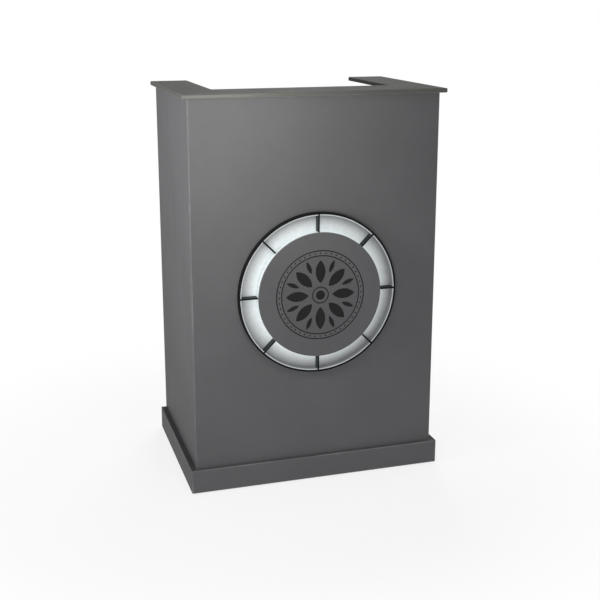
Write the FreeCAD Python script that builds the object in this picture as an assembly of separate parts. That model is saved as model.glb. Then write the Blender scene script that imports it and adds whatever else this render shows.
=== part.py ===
import FreeCAD, Part
import math
import os

# A standing-height reception desk: a painted board carcass with a U-shaped counter, a lit ring on its
# front, and a worktop, a lockable drawer and an adjustable shelf on the open staff side.
# The front faces -Y, the staff side faces +Y, X runs to the right seen from the front, Z is up.
# All sizes are in millimetres.

# Overall sizes
height = 1100.0
body_width = 700.0
body_depth = 484.0
board = 12.0
edge_round = 0.8
small_round = 0.4
counter_round = 3.0
corner_round = 2.0
plinth_round = 1.2

# Gaps
lift_gap = 0.3
hole_gap = 0.15
running_gap = 0.06
overcut = 1.0

# Counter
counter_overhang = 16.0
counter_arm = 110.0
counter_ledge = 150.0

# Plinth, kick board and floor glides
plinth_height = 70.0
plinth_board = 16.0
kick_setback = 20.0
glide_height = 3.0
glide_radius = 11.0
glides_per_side = 3
glide_inset = 40.0
front_glide_inset = 180.0

# Inside boards
worktop_height = 900.0
shelf_height = 440.0
shelf_front_gap = 60.0
shelf_back_gap = 20.0
shelf_side_gap = 1.0
pin_radius = 2.5
pin_depth = 8.0
pin_tab = 8.0
pin_tab_width = 6.0
pin_tab_sheet = 2.0
pin_hole_pitch = 32.0
pin_hole_rows = 5
pin_inset = 55.0

# Cam fittings that pull the boards together
cam_radius = 6.0
cam_skin = 2.2
cam_setback = 24.0
cam_slot_depth = 1.5
cam_slot_length = 8.0
cam_slot_width = 1.4
bolt_radius = 3.0
bolt_thread_radius = 2.5
bolt_thread_length = 9.0
bolt_neck_radius = 1.8
bolt_head_radius = 2.6
bolt_head_length = 3.0
bolt_bore_gap = 0.4
bolt_grip = 1.0
cam_inset = 60.0
side_cam_count = 3
side_cam_inset = 150.0

# Wood screws
screw_radius = 1.75
screw_length = 11.0
head_radius_ratio = 2.0
head_height_ratio = 1.1
head_round_ratio = 0.6
slot_length_ratio = 2.2
slot_width_ratio = 0.44
slot_depth_share = 0.5
plinth_screw_length = 24.0
plinth_screw_count = 3
plinth_screw_inset = 90.0

# Brackets under the counter
bracket_leaf = 40.0
bracket_width = 20.0
bracket_sheet = 2.0
bracket_screw_steps = (15.0, 32.0)
bracket_inset = 110.0

# Lit ring on the front
ring_centre_z = 550.0
ring_radius = 226.0
hoop_wall = 4.5
hoop_proud = 15.0
floor_depth = 7.0
spoke_count = 8
spoke_width = 4.5
pan_sheet = 1.5
pan_wall = 3.0
pan_lip_drop = 1.2
pan_lip_round = 1.0
plug_flange = 8.0
plug_lap = 20.0
plug_screw_count = 8
plug_screw_depth = 9.0

# Hub that carries the light and the disc
disc_radius = 175.0
disc_proud = 30.0
disc_board = 4.0
opal_setback = 3.0
opal_wall = 3.0
core_radius = 160.0
core_wall = 30.0
hub_screw_count = 6
hub_screw_grip = 15.0
strip_width = 10.0
strip_thick = 1.2
strip_gap = 0.1
chip_count = 60
chip_size = 5.0
chip_thick = 1.6

# Rosette inlaid in the disc
inlay_depth = 1.2
inlay_gap = 0.1
inlay_ring_radii = (126.0, 112.0, 24.0)
inlay_ring_width = 3.0
petal_count = 8
petal_start = 34.0
petal_end = 98.0
petal_half_width = 14.0
leaf_start = 66.0
leaf_end = 104.0
leaf_half_width = 6.0
bead_radius = 2.2
bead_count = 48
boss_radius = 13.0

# Lead, clips, junction box and light driver
lead_radius = 2.5
lead_rise = 8.0
lead_bend = 40.0
lead_entry = 6.0
tail_radius = 1.5
tail_bend = 10.0
clip_length = 10.0
clip_wall = 2.0
clip_end_gap = 30.0
junction_size = 44.0
junction_depth = 16.0
case_wall = 2.0
terminal_size = (24.0, 10.0, 14.0)
driver_length = 150.0
driver_width = 50.0
driver_depth = 32.0
driver_base_sheet = 2.0
driver_ear = 12.0
driver_inset = 40.0
circuit_board = 1.6
circuit_end_gap = 6.9
circuit_notch = 10.0
circuit_post = 4.0
circuit_post_radius = 2.5
transformer_size = (18.0, 34.0, 26.0)
capacitor_radius = 6.0
capacitor_height = 20.0

# Switch and power inlet in the driver's end
switch_size = (19.0, 12.8)
switch_rim = 1.5
switch_rim_thick = 2.0
switch_depth = 14.0
switch_well = (16.0, 10.0)
switch_well_depth = 9.0
rocker_half_length = 7.0
rocker_half_width = 4.7
rocker_tip = 4.0
rocker_waist = 2.2
rocker_keel = 4.0
rocker_taper = 1.0
rocker_tilt = 9.0
rocker_pin_radius = 1.2
rocker_pivot_depth = 1.0
inlet_size = (20.0, 10.0)
inlet_depth = 16.0
inlet_lobe_radius = 4.0
inlet_lobe_offset = 3.3
inlet_recess = 12.0
inlet_pin_radius = 1.2
inlet_pin_length = 10.0
end_fitting_offset = 13.0

# Drawer
drawer_recess = 32.0
drawer_face_gap = 3.0
drawer_face_height = 106.0
drawer_box_rise = 12.0
drawer_length = 300.0
drawer_bottom_sheet = 4.0
drawer_groove = 6.0
drawer_groove_rise = 8.0
dowel_radius = 4.0
dowel_face_depth = 9.0
dowel_side_depth = 21.0
dowel_inset = 18.0
dowel_round = 1.0
handle_centres = 160.0
handle_bar_radius = 6.0
handle_post_radius = 5.0
handle_reach = 24.0
handle_overrun = 12.0
handle_drop = 66.0
handle_screw_radius = 2.0
handle_screw_grip = 10.0

# Drawer lock and its strike
lock_drop = 27.0
lock_flange_radius = 11.0
lock_flange = 2.0
lock_body_radius = 8.0
lock_body_length = 26.0
lock_plug_radius = 6.0
lock_tip_radius = 3.0
lock_nut_radius = 12.0
lock_nut_thick = 4.0
keyway = (1.2, 7.0, 12.0)
cam_arm_length = 24.0
cam_arm_width = 12.0
cam_arm_sheet = 2.5
strike_length = 60.0
strike_drop = 14.0
strike_leaf = 18.0
strike_sheet = 2.0
strike_gap = 2.3
strike_clearance = 2.0
strike_screw_offset = 20.0

# Roller runners
runner_space = 12.5
runner_sheet = 1.2
runner_length = 300.0
runner_web = 37.0
runner_side_gap = 0.8
runner_end_gap = 1.0
runner_lip = 1.8
runner_top_flange = 3.4
runner_track_gap = 1.0
runner_skirt = 16.0
runner_upstand = 14.0
runner_drop = 2.0
roller_radius = 9.7
roller_width = 6.4
roller_offset = 2.4
roller_inset = 14.0
roller_pin_radius = 2.5
roller_head_radius = 4.0
roller_head = 0.8
runner_screw_count = 3
runner_screw_inset = 60.0
runner_screw_rise = 30.0
track_screw_rise = 7.0

# Cable grommet in the worktop
grommet_radius = 30.0
grommet_wall = 2.5
grommet_length = 14.0
grommet_flange = 4.0
grommet_flange_thick = 2.0
grommet_ledge = 3.5
grommet_ledge_drop = 4.0
grommet_cap_thick = 3.0
grommet_slot = (14.0, 18.0)
grommet_inset = 90.0

# Places that follow from the sizes
V = FreeCAD.Vector
UP = V(0, 0, 1)
BACK = V(0, 1, 0)
front_y = disc_proud - (body_depth + disc_proud) / 2
back_y = front_y + body_depth
inner_front_y = front_y + board
outer_x = body_width / 2
inner_x = outer_x - board
counter_x = outer_x + counter_overhang
counter_under = height - board
worktop_under = worktop_height - board
shelf_under = shelf_height - board
hoop_inner = ring_radius - hoop_wall
hoop_front_y = front_y - hoop_proud
floor_y = front_y + floor_depth
plug_front_y = floor_y + pan_sheet
plug_back_y = inner_front_y + plug_flange
plug_radius = ring_radius + plug_lap
pan_radius = hoop_inner - lift_gap
disc_front_y = front_y - disc_proud
disc_back_y = disc_front_y + disc_board
opal_radius = disc_radius - opal_setback
hub_mid_y = (floor_y + disc_back_y) / 2
drawer_face_y = back_y - drawer_recess
drawer_inner_y = drawer_face_y - board
drawer_rear_y = drawer_inner_y - drawer_length
drawer_face_top = worktop_under - drawer_face_gap
drawer_face_low = drawer_face_top - drawer_face_height
drawer_low = drawer_face_low + drawer_box_rise
drawer_top = worktop_under - strike_drop - strike_clearance
drawer_x = inner_x - runner_space
drawer_bottom_z = drawer_low + drawer_groove_rise
lock_z = drawer_face_top - lock_drop
lock_end_y = drawer_face_y - lock_body_length
runner_z = drawer_low - runner_drop
runner_back_y = drawer_inner_y - runner_end_gap
runner_front_y = runner_back_y - runner_length
roller_z = runner_z + runner_sheet + lift_gap + roller_radius
track_z = roller_z + roller_radius + lift_gap
cabinet_roller_y = runner_back_y - roller_inset
drawer_roller_y = drawer_rear_y + roller_inset
driver_back_y = back_y - driver_inset
driver_front_y = driver_back_y - driver_length
driver_x = -inner_x + driver_base_sheet
fitting_x = driver_x + driver_depth / 2
switch_z = ring_centre_z + end_fitting_offset
inlet_z = ring_centre_z - end_fitting_offset
rocker_pivot_y = driver_back_y - rocker_pivot_depth
lead_x = -inner_x + lead_rise
lead_y = plug_back_y + lead_rise
grommet_x = inner_x - grommet_inset
grommet_y = inner_front_y + grommet_inset
grommet_seat_z = worktop_height - grommet_flange_thick


# Shared shape tools

def box(low, high):
    """A box between two corners."""
    return Part.makeBox(high[0] - low[0], high[1] - low[1], high[2] - low[2], V(*low))


def rod(radius, start, end):
    """A round bar between two points."""
    axis = V(*end) - V(*start)
    return Part.makeCylinder(radius, axis.Length, V(*start), axis)


def ring(outer, inner, y_low, y_high):
    """A ring about the lit ring's axis."""
    start = (0, y_low, ring_centre_z)
    end = (0, y_high, ring_centre_z)
    return rod(outer, start, end).cut(rod(inner, start, end))


def across(side, depth_low, depth_high):
    """The two X values at these depths inside a side panel's inner face, in rising order."""
    return sorted((side * (inner_x - depth_low), side * (inner_x - depth_high)))


def side_box(side, depths, ys, zs):
    """A box beside a side panel, with its X given as depths from the panel's inner face."""
    low_x, high_x = across(side, *depths)
    return box((low_x, ys[0], zs[0]), (high_x, ys[1], zs[1]))


def prism(points, direction):
    """A flat outline pushed along a direction."""
    corners = [V(*point) for point in points]
    outline = Part.makePolygon(corners + corners[:1])
    return Part.Face(outline).extrude(direction)


def rounded(shape, radius=edge_round):
    """The shape with all its edges eased."""
    return shape.makeFillet(radius, shape.Edges)


def spread(low, high, count, inset):
    """Evenly spaced places between two ends, the outer ones inset."""
    step = (high - low - 2 * inset) / (count - 1)
    return [low + inset + index * step for index in range(count)]


def placed(shape, origin, x_axis, z_axis):
    """A copy of a shape made at the origin, moved to a place and turned to two axes."""
    moved = shape.copy()
    turn = FreeCAD.Rotation(x_axis, z_axis.cross(x_axis), z_axis, "ZXY")
    moved.Placement = FreeCAD.Placement(origin, turn)
    return moved


def turned_about_ring(shape, angle):
    """A copy of a shape turned about the lit ring's axis."""
    moved = shape.copy()
    moved.rotate(V(0, 0, ring_centre_z), BACK, angle)
    return moved


def drilled(shape):
    """The shape with every fastener hole that reaches it."""
    reaching = [hole for hole in HOLES if hole.BoundBox.intersect(shape.BoundBox)]
    return shape.cut(reaching)


def tube(points, radius, bend):
    """A cord along straight runs that meet in tangent arcs."""
    edges = []
    start = V(*points[0])
    for index in range(1, len(points) - 1):
        corner = V(*points[index])
        before = (V(*points[index - 1]) - corner).normalize()
        after = (V(*points[index + 1]) - corner).normalize()
        half_turn = before.getAngle(after) / 2
        reach = bend / math.tan(half_turn)
        centre = corner + (before + after).normalize() * (bend / math.sin(half_turn))
        middle = centre + (corner - centre).normalize() * bend
        edges.append(Part.LineSegment(start, corner + before * reach).toShape())
        start = corner + after * reach
        edges.append(Part.Arc(corner + before * reach, middle, start).toShape())
    edges.append(Part.LineSegment(start, V(*points[-1])).toShape())
    path = Part.Wire(edges)
    first = V(*points[0])
    profile = Part.Wire(Part.Circle(first, V(*points[1]) - first, radius).toShape())
    return path.makePipeShell([profile], True, False)


# Fasteners: where they sit, their shapes and their holes

def bracket_corners():
    """Corner point and inward direction of each bracket under the counter."""
    corners = []
    for side in (-1, 1):
        for y in (inner_front_y + bracket_inset, back_y - bracket_inset):
            corners.append((V(side * inner_x, y, counter_under), V(-side, 0, 0)))
        corners.append((V(side * bracket_inset, inner_front_y, counter_under), BACK))
    return corners


def runner_screw_ys():
    return spread(runner_front_y, runner_back_y, runner_screw_count, runner_screw_inset)


def cabinet_screw_places():
    """Head point and direction of each screw in the fixed part of the desk."""
    places = []
    for corner, inward in bracket_corners():
        for step in bracket_screw_steps:
            places.append((corner + inward * step - UP * bracket_sheet, UP))
            places.append((corner + inward * bracket_sheet - UP * step, inward * -1))
    for side in (-1, 1):
        for y in runner_screw_ys():
            head = V(side * (inner_x - runner_sheet), y, runner_z + runner_screw_rise)
            places.append((head, V(side, 0, 0)))
    ear = driver_width / 2 + driver_ear / 2
    for y in (driver_front_y + driver_ear, driver_back_y - driver_ear):
        for z in (ring_centre_z - ear, ring_centre_z + ear):
            places.append((V(driver_x, y, z), V(-1, 0, 0)))
    for x in (-strike_screw_offset, strike_screw_offset):
        places.append((V(x, strike_y() - strike_leaf / 2, worktop_under - strike_sheet), UP))
    return places


def plinth_screw_places():
    """Screws from inside the desk into the plinth boards."""
    z = (glide_height + plinth_height) / 2
    places = [
        (V(x, inner_front_y, z), BACK * -1)
        for x in spread(-outer_x, outer_x, plinth_screw_count, plinth_screw_inset)
    ]
    for side in (-1, 1):
        for y in spread(front_y, back_y, plinth_screw_count, plinth_screw_inset):
            places.append((V(side * inner_x, y, z), V(side, 0, 0)))
    return places


def backing_screw_places():
    """Screws through the backing plug's flange into the front panel."""
    reach = ring_radius + plug_lap / 2
    start_angle = 180.0 / plug_screw_count
    return around_ring(reach, plug_screw_count, start_angle)


def hub_screw_places():
    """Screws through the plug and the pan into the hub core."""
    return around_ring(core_radius - core_wall / 2, hub_screw_count, 0.0)


def around_ring(reach, count, start_angle):
    places = []
    for index in range(count):
        angle = math.radians(start_angle + index * 360.0 / count)
        x = reach * math.cos(angle)
        z = ring_centre_z + reach * math.sin(angle)
        places.append((V(x, plug_back_y, z), BACK * -1))
    return places


def handle_screw_places():
    """Screws through the drawer face into the handle's posts."""
    z = drawer_face_top - handle_drop
    return [(V(side * handle_centres / 2, drawer_inner_y, z), BACK) for side in (-1, 1)]


def drawer_screw_places():
    """Screws through the drawer's runners into its sides."""
    places = []
    for side in (-1, 1):
        for y in runner_screw_ys():
            head = V(side * (drawer_x + runner_sheet), y, track_z + track_screw_rise)
            places.append((head, V(-side, 0, 0)))
    return places


def screw_sets():
    """Each set's places, shank length and shank radius."""
    backing_length = plug_flange + plug_screw_depth
    hub_length = plug_back_y - floor_y + hub_screw_grip
    handle_length = board + handle_screw_grip
    return {
        "cabinet_screws": (cabinet_screw_places(), screw_length, screw_radius),
        "plinth_screws": (plinth_screw_places(), plinth_screw_length, screw_radius),
        "backing_screws": (backing_screw_places(), backing_length, screw_radius),
        "hub_screws": (hub_screw_places(), hub_length, screw_radius),
        "handle_screws": (handle_screw_places(), handle_length, handle_screw_radius),
        "drawer_screws": (drawer_screw_places(), screw_length, screw_radius),
    }


def screw_shape(shank_length, radius):
    """A cross-head screw at the origin, its shank along +Z and its head below."""
    head_height = head_height_ratio * radius
    head = Part.makeCylinder(head_radius_ratio * radius, head_height, V(0, 0, -head_height))
    crown = [edge for edge in head.Edges if edge.BoundBox.ZMax < -head_height / 2]
    head = head.makeFillet(head_round_ratio * radius, crown)
    low = -head_height - overcut
    high = (slot_depth_share - 1) * head_height
    length = slot_length_ratio * radius / 2
    width = slot_width_ratio * radius / 2
    slots = [
        box((-length, -width, low), (length, width, high)),
        box((-width, -length, low), (width, length, high)),
    ]
    shank = Part.makeCylinder(radius, shank_length)
    return head.fuse(shank).removeSplitter().cut(slots)


def sideways(direction):
    """Some direction square to the given one."""
    helper = UP if abs(direction.z) < 0.5 else V(1, 0, 0)
    return helper.cross(direction).normalize()


def screws(name):
    """All screws of one set, as separate solids."""
    places, length, radius = SCREW_SETS[name]
    pattern = screw_shape(length, radius)
    solids = [placed(pattern, head, sideways(axis), axis) for head, axis in places]
    return Part.makeCompound(solids)


def screw_holes():
    holes = []
    for places, length, radius in SCREW_SETS.values():
        for head, axis in places:
            start = head - axis * hole_gap
            holes.append(rod(radius + hole_gap, start, head + axis * (length + hole_gap)))
    return holes


def cam_joints():
    """Edge point, direction into the cam's board and face side of each cam fitting."""
    joints = []
    for side in (-1, 1):
        inward = V(-side, 0, 0)
        for z in spread(plinth_height, worktop_under, side_cam_count, side_cam_inset):
            edge = V(side * (outer_x - board / 2), inner_front_y, z)
            joints.append((edge, BACK, inward))
        for z in (plinth_height + board / 2, worktop_under + board / 2):
            for y in (inner_front_y + cam_inset, back_y - cam_inset):
                joints.append((V(side * inner_x, y, z), inward, UP * -1))
        kick_y = back_y - kick_setback - board / 2
        kick_z = (glide_height + plinth_height) / 2
        joints.append((V(side * inner_x, kick_y, kick_z), inward, BACK * -1))
    return joints


def cam_centre(joint):
    edge, into, face = joint
    return edge + into * cam_setback + face * (board / 2)


def cam_locks():
    """Cross-slotted cam discs, set flush in their boards."""
    depth = board - cam_skin
    disc = Part.makeCylinder(cam_radius, depth, V(0, 0, -depth))
    throat_half = bolt_radius + bolt_bore_gap
    throat_high = throat_half - board / 2
    throat = box((-throat_half, -throat_half, -board), (2 * cam_radius, throat_half, throat_high))
    length = cam_slot_length / 2
    width = cam_slot_width / 2
    slots = [
        box((-length, -width, -cam_slot_depth), (length, width, overcut)),
        box((-width, -length, -cam_slot_depth), (width, length, overcut)),
    ]
    pattern = disc.cut([throat] + slots)
    solids = [placed(pattern, cam_centre(joint), joint[1] * -1, joint[2]) for joint in CAM_JOINTS]
    return Part.makeCompound(solids)


def cam_bolts():
    """Headed bolts, screwed into one board and gripped by the cam in the other."""
    neck_start = cam_setback - cam_radius + bolt_grip
    head_end = cam_setback + bolt_head_length / 2
    head_start = head_end - bolt_head_length
    solids = []
    for edge, into, _ in CAM_JOINTS:
        bolt = rod(bolt_thread_radius, edge - into * bolt_thread_length, edge)
        bolt = bolt.fuse(rod(bolt_radius, edge, edge + into * neck_start))
        bolt = bolt.fuse(rod(bolt_neck_radius, edge + into * neck_start, edge + into * head_start))
        bolt = bolt.fuse(rod(bolt_head_radius, edge + into * head_start, edge + into * head_end))
        solids.append(bolt)
    return Part.makeCompound(solids)


def cam_holes():
    holes = []
    for joint in CAM_JOINTS:
        edge, into, face = joint
        centre = cam_centre(joint)
        bottom = centre - face * (board - cam_skin)
        holes.append(rod(cam_radius + hole_gap, bottom, centre + face * overcut))
        holes.append(rod(bolt_radius + bolt_bore_gap, edge, edge + into * cam_setback))
        thread_end = edge - into * (bolt_thread_length + hole_gap)
        holes.append(rod(bolt_thread_radius + hole_gap, thread_end, edge + into * hole_gap))
    return holes


def dowel_joints():
    """Point on the joint face and direction into the drawer side's end or the drawer back's end."""
    joints = []
    middle_z = (drawer_bottom_z + drawer_bottom_sheet + drawer_top) / 2
    for side in (-1, 1):
        x = side * (drawer_x - board / 2)
        for z in (middle_z - dowel_inset, middle_z + dowel_inset):
            joints.append((V(x, drawer_inner_y, z), BACK * -1))
            back_end = V(side * (drawer_x - board), drawer_rear_y + board / 2, z)
            joints.append((back_end, V(-side, 0, 0)))
    return joints


def drawer_dowels():
    """Glued beech dowels at the drawer's corners."""
    solids = []
    for point, into in DOWEL_JOINTS:
        dowel = rod(dowel_radius, point - into * dowel_face_depth, point + into * dowel_side_depth)
        solids.append(rounded(dowel, dowel_round))
    return Part.makeCompound(solids)


def dowel_holes():
    radius = dowel_radius + hole_gap
    holes = []
    for point, into in DOWEL_JOINTS:
        start = point - into * (dowel_face_depth + hole_gap)
        holes.append(rod(radius, start, point + into * (dowel_side_depth + hole_gap)))
    return holes


def shelf_pin_ys():
    return (inner_front_y + shelf_front_gap + pin_inset, back_y - shelf_back_gap - pin_inset)


def shelf_pin_z():
    return shelf_under - pin_tab_sheet - pin_radius


def shelf_pins():
    """Four pegs with flat tabs that carry the shelf."""
    solids = []
    z = shelf_pin_z()
    for side in (-1, 1):
        for y in shelf_pin_ys():
            start = (side * (inner_x + pin_depth), y, z)
            peg = rod(pin_radius, start, (side * (inner_x - pin_tab), y, z))
            ys = (y - pin_tab_width / 2, y + pin_tab_width / 2)
            tab = side_box(side, (0, pin_tab), ys, (z, shelf_under))
            solids.append(peg.fuse(tab).removeSplitter())
    return Part.makeCompound(solids)


def shelf_pin_holes():
    """Rows of peg holes that let the shelf be set higher or lower."""
    holes = []
    middle_row = (pin_hole_rows - 1) // 2
    for side in (-1, 1):
        for y in shelf_pin_ys():
            for row in range(pin_hole_rows):
                z = shelf_pin_z() + (row - middle_row) * pin_hole_pitch
                end = (side * (inner_x + pin_depth + hole_gap), y, z)
                holes.append(rod(pin_radius + hole_gap, (side * inner_x, y, z), end))
    return holes


# Carcass boards

def front_panel():
    """Front board with soft front corners and the round opening for the lit ring."""
    panel = box((-outer_x, front_y, glide_height), (outer_x, inner_front_y, counter_under))
    middle_y = front_y + board / 2
    panel = panel.makeFillet(corner_round, [edge for edge in panel.Edges if edge.BoundBox.YMax < middle_y])
    inner_edges = [edge for edge in panel.Edges if edge.BoundBox.YMin > middle_y]
    panel = panel.makeFillet(edge_round, inner_edges)
    opening = ring_radius + lift_gap
    start = (0, front_y - overcut, ring_centre_z)
    hole = rod(opening, start, (0, inner_front_y + overcut, ring_centre_z))
    return drilled(panel.cut(hole))


def side_panel(side):
    zs = (glide_height, counter_under)
    return drilled(rounded(side_box(side, (0, -board), (inner_front_y, back_y), zs)))


def counter_top():
    """U-shaped counter: a ledge along the front and an arm over each side, open at the back."""
    front = front_y - counter_overhang
    arm_x = counter_x - counter_arm
    ledge_y = front + counter_ledge
    outline = [
        (-counter_x, front, counter_under),
        (counter_x, front, counter_under),
        (counter_x, back_y, counter_under),
        (arm_x, back_y, counter_under),
        (arm_x, ledge_y, counter_under),
        (-arm_x, ledge_y, counter_under),
        (-arm_x, back_y, counter_under),
        (-counter_x, back_y, counter_under),
    ]
    return drilled(rounded(prism(outline, UP * board), counter_round))


def bottom_panel():
    low = (-inner_x, inner_front_y, plinth_height)
    return drilled(rounded(box(low, (inner_x, back_y, plinth_height + board))))


def worktop():
    """Staff-side worktop with the stepped hole for the cable grommet."""
    top = rounded(box((-inner_x, inner_front_y, worktop_under), (inner_x, back_y, worktop_height)))
    low = (grommet_x, grommet_y, worktop_under - overcut)
    high = (grommet_x, grommet_y, worktop_height + overcut)
    hole = rod(grommet_radius + hole_gap, low, high)
    recess = rod(grommet_radius + grommet_flange + hole_gap, (grommet_x, grommet_y, grommet_seat_z), high)
    return drilled(top.cut([hole, recess]))


def shelf():
    x = inner_x - shelf_side_gap
    low = (-x, inner_front_y + shelf_front_gap, shelf_under)
    return rounded(box(low, (x, back_y - shelf_back_gap, shelf_height)))


def rear_kick_board():
    face_y = back_y - kick_setback
    low = (-inner_x, face_y - board, glide_height)
    return drilled(rounded(box(low, (inner_x, face_y, plinth_height))))


def plinth_front():
    """Front plinth board, mitred at both ends."""
    corner_x = outer_x + plinth_board
    corner_y = front_y - plinth_board
    outline = [
        (-corner_x, corner_y, glide_height),
        (corner_x, corner_y, glide_height),
        (outer_x, front_y, glide_height),
        (-outer_x, front_y, glide_height),
    ]
    board_height = UP * (plinth_height - glide_height)
    return drilled(rounded(prism(outline, board_height), plinth_round))


def plinth_side(side):
    """Side plinth board, mitred at its front end."""
    corner_x = outer_x + plinth_board
    outline = [
        (side * corner_x, front_y - plinth_board, glide_height),
        (side * outer_x, front_y, glide_height),
        (side * outer_x, back_y, glide_height),
        (side * corner_x, back_y, glide_height),
    ]
    board_height = UP * (plinth_height - glide_height)
    return drilled(rounded(prism(outline, board_height), plinth_round))


def floor_glides():
    """Nylon glides under the joint of the panels and the plinth."""
    front_x = outer_x - front_glide_inset
    places = [(x, front_y) for x in (-front_x, front_x)]
    for side in (-1, 1):
        for y in spread(front_y, back_y, glides_per_side, glide_inset):
            places.append((side * outer_x, y))
    glides = [rod(glide_radius, (x, y, 0), (x, y, glide_height)) for x, y in places]
    return Part.makeCompound(glides)


def counter_brackets():
    """Steel angle brackets between the panels and the counter."""
    half = bracket_width / 2
    level = box((0, -half, -bracket_sheet), (bracket_leaf, half, 0))
    upright = box((0, -half, -bracket_leaf), (bracket_sheet, half, 0))
    pattern = level.fuse(upright).removeSplitter()
    solids = [drilled(placed(pattern, corner, inward, UP)) for corner, inward in bracket_corners()]
    return Part.makeCompound(solids)


# Lit ring

def ring_hoop():
    """Black hoop that stands proud of the front panel."""
    hoop = ring(ring_radius, hoop_inner, hoop_front_y, plug_front_y)
    return rounded(hoop)


def spoke_bar(width, start, end, y_low, y_high):
    """An upright bar above the ring's centre."""
    low = (-width / 2, y_low, ring_centre_z + start)
    return box(low, (width / 2, y_high, ring_centre_z + end))


def spoke_angles():
    return [index * 360.0 / spoke_count for index in range(spoke_count)]


def ring_spokes():
    """Deep fins that divide the lit band, flush with the hoop's front edge."""
    bar = spoke_bar(spoke_width, opal_radius + lift_gap, hoop_inner - hole_gap, hoop_front_y, floor_y)
    bar = rounded(bar)
    return Part.makeCompound([turned_about_ring(bar, angle) for angle in spoke_angles()])


def reflector_pan():
    """Bright dish behind the lit band, its rim notched for the spokes."""
    rim_y = hoop_front_y + pan_lip_drop
    dish = ring(pan_radius, pan_radius - pan_wall, rim_y, floor_y)
    rim = [edge for edge in dish.Edges if edge.BoundBox.YMax < rim_y + pan_wall]
    dish = dish.makeFillet(pan_lip_round, rim)
    floor = ring(pan_radius, tail_radius + lift_gap, floor_y, plug_front_y)
    notch_start = pan_radius - 2 * pan_wall
    notch_width = spoke_width + 2 * lift_gap
    notch = spoke_bar(notch_width, notch_start, ring_radius, rim_y - overcut, floor_y)
    notches = [turned_about_ring(notch, angle) for angle in spoke_angles()]
    return drilled(dish.cut(notches).fuse(floor).removeSplitter())


def backing_plug():
    """Stepped board that closes the opening from behind."""
    bore = tail_radius + lift_gap
    plug = ring(ring_radius - hole_gap, bore, plug_front_y, inner_front_y)
    flange = ring(plug_radius, bore, inner_front_y, plug_back_y)
    return drilled(plug.fuse(flange).removeSplitter())


def hub_core():
    """Ring of board that carries the light strip and the disc."""
    core = ring(core_radius, core_radius - core_wall, disc_back_y, floor_y)
    core_low = ring_centre_z - core_radius
    start = (0, hub_mid_y, core_low + core_wall + overcut)
    wire_hole = rod(tail_radius + lift_gap, start, (0, hub_mid_y, core_low - overcut))
    return drilled(core.cut(wire_hole))


def led_strip():
    """Light strip wound on the hub core, with its chips."""
    inner = core_radius + strip_gap
    half = strip_width / 2
    tape = ring(inner + strip_thick, inner, hub_mid_y - half, hub_mid_y + half)
    half = chip_size / 2
    seat = ring_centre_z + inner + strip_thick + strip_gap
    chip = box((-half, hub_mid_y - half, seat), (half, hub_mid_y + half, seat + chip_thick))
    angles = [index * 360.0 / chip_count for index in range(chip_count)]
    chips = [turned_about_ring(chip, angle) for angle in angles]
    return Part.makeCompound([tape] + chips)


def opal_ring():
    """Translucent wall round the light strip."""
    return ring(opal_radius, opal_radius - opal_wall, disc_back_y, floor_y)


def emblem_disc():
    """Painted disc on the hub, with pockets for the rosette."""
    disc = rod(disc_radius, (0, disc_front_y, ring_centre_z), (0, disc_back_y, ring_centre_z))
    return rounded(disc).cut(rosette(inlay_gap))


def emblem_inlay():
    """Dark pieces of the rosette, flush with the disc."""
    return Part.makeCompound(rosette(0.0))


def rosette(grow):
    """Rings, petals, leaves and beads of the rosette, each grown all round by a gap."""
    low = disc_front_y
    high = disc_front_y + inlay_depth
    pieces = []
    for radius in inlay_ring_radii:
        pieces.append(ring(radius + grow, radius - inlay_ring_width - grow, low, high))
    pieces.append(rod(boss_radius + grow, (0, low, ring_centre_z), (0, high, ring_centre_z)))
    petal = lens(petal_start - grow, petal_end + grow, petal_half_width + grow)
    leaf = lens(leaf_start - grow, leaf_end + grow, leaf_half_width + grow)
    for index in range(petal_count):
        pieces.append(turned_about_ring(petal, index * 360.0 / petal_count))
        pieces.append(turned_about_ring(leaf, (index + 0.5) * 360.0 / petal_count))
    bead_z = ring_centre_z + (inlay_ring_radii[0] + inlay_ring_radii[1] - inlay_ring_width) / 2
    bead = rod(bead_radius + grow, (0, low, bead_z), (0, high, bead_z))
    for index in range(bead_count):
        pieces.append(turned_about_ring(bead, index * 360.0 / bead_count))
    return pieces


def lens(start, end, half_width):
    """A pointed leaf above the ring's centre, bounded by two arcs."""
    tip = V(0, disc_front_y, ring_centre_z + end)
    root = V(0, disc_front_y, ring_centre_z + start)
    middle = (tip + root) * 0.5
    right = Part.Arc(root, middle + V(half_width, 0, 0), tip).toShape()
    left = Part.Arc(tip, middle - V(half_width, 0, 0), root).toShape()
    return Part.Face(Part.Wire([right, left])).extrude(BACK * inlay_depth)


# Light driver, lead and switch

def driver_base():
    half = driver_width / 2 + driver_ear
    low = (-inner_x, driver_front_y, ring_centre_z - half)
    return drilled(rounded(box(low, (driver_x, driver_back_y, ring_centre_z + half))))


def driver_case():
    """Driver housing with openings for the switch, the inlet and the lead."""
    half = driver_width / 2
    face_x = driver_x + driver_depth
    low = (driver_x, driver_front_y, ring_centre_z - half)
    shell = rounded(box(low, (face_x, driver_back_y, ring_centre_z + half)))
    inside = half - case_wall
    hollow = box(
        (driver_x - overcut, driver_front_y + case_wall, ring_centre_z - inside),
        (face_x - case_wall, driver_back_y - case_wall, ring_centre_z + inside),
    )
    windows = [
        end_block(switch_size, switch_z, lift_gap, -case_wall - overcut, overcut),
        end_block(inlet_size, inlet_z, lift_gap, -case_wall - overcut, overcut),
    ]
    lead_start = (lead_x, driver_front_y - overcut, ring_centre_z)
    lead_end = (lead_x, driver_front_y + case_wall + overcut, ring_centre_z)
    lead_hole = rod(lead_radius + lift_gap, lead_start, lead_end)
    return shell.cut([hollow, lead_hole] + windows)


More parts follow.
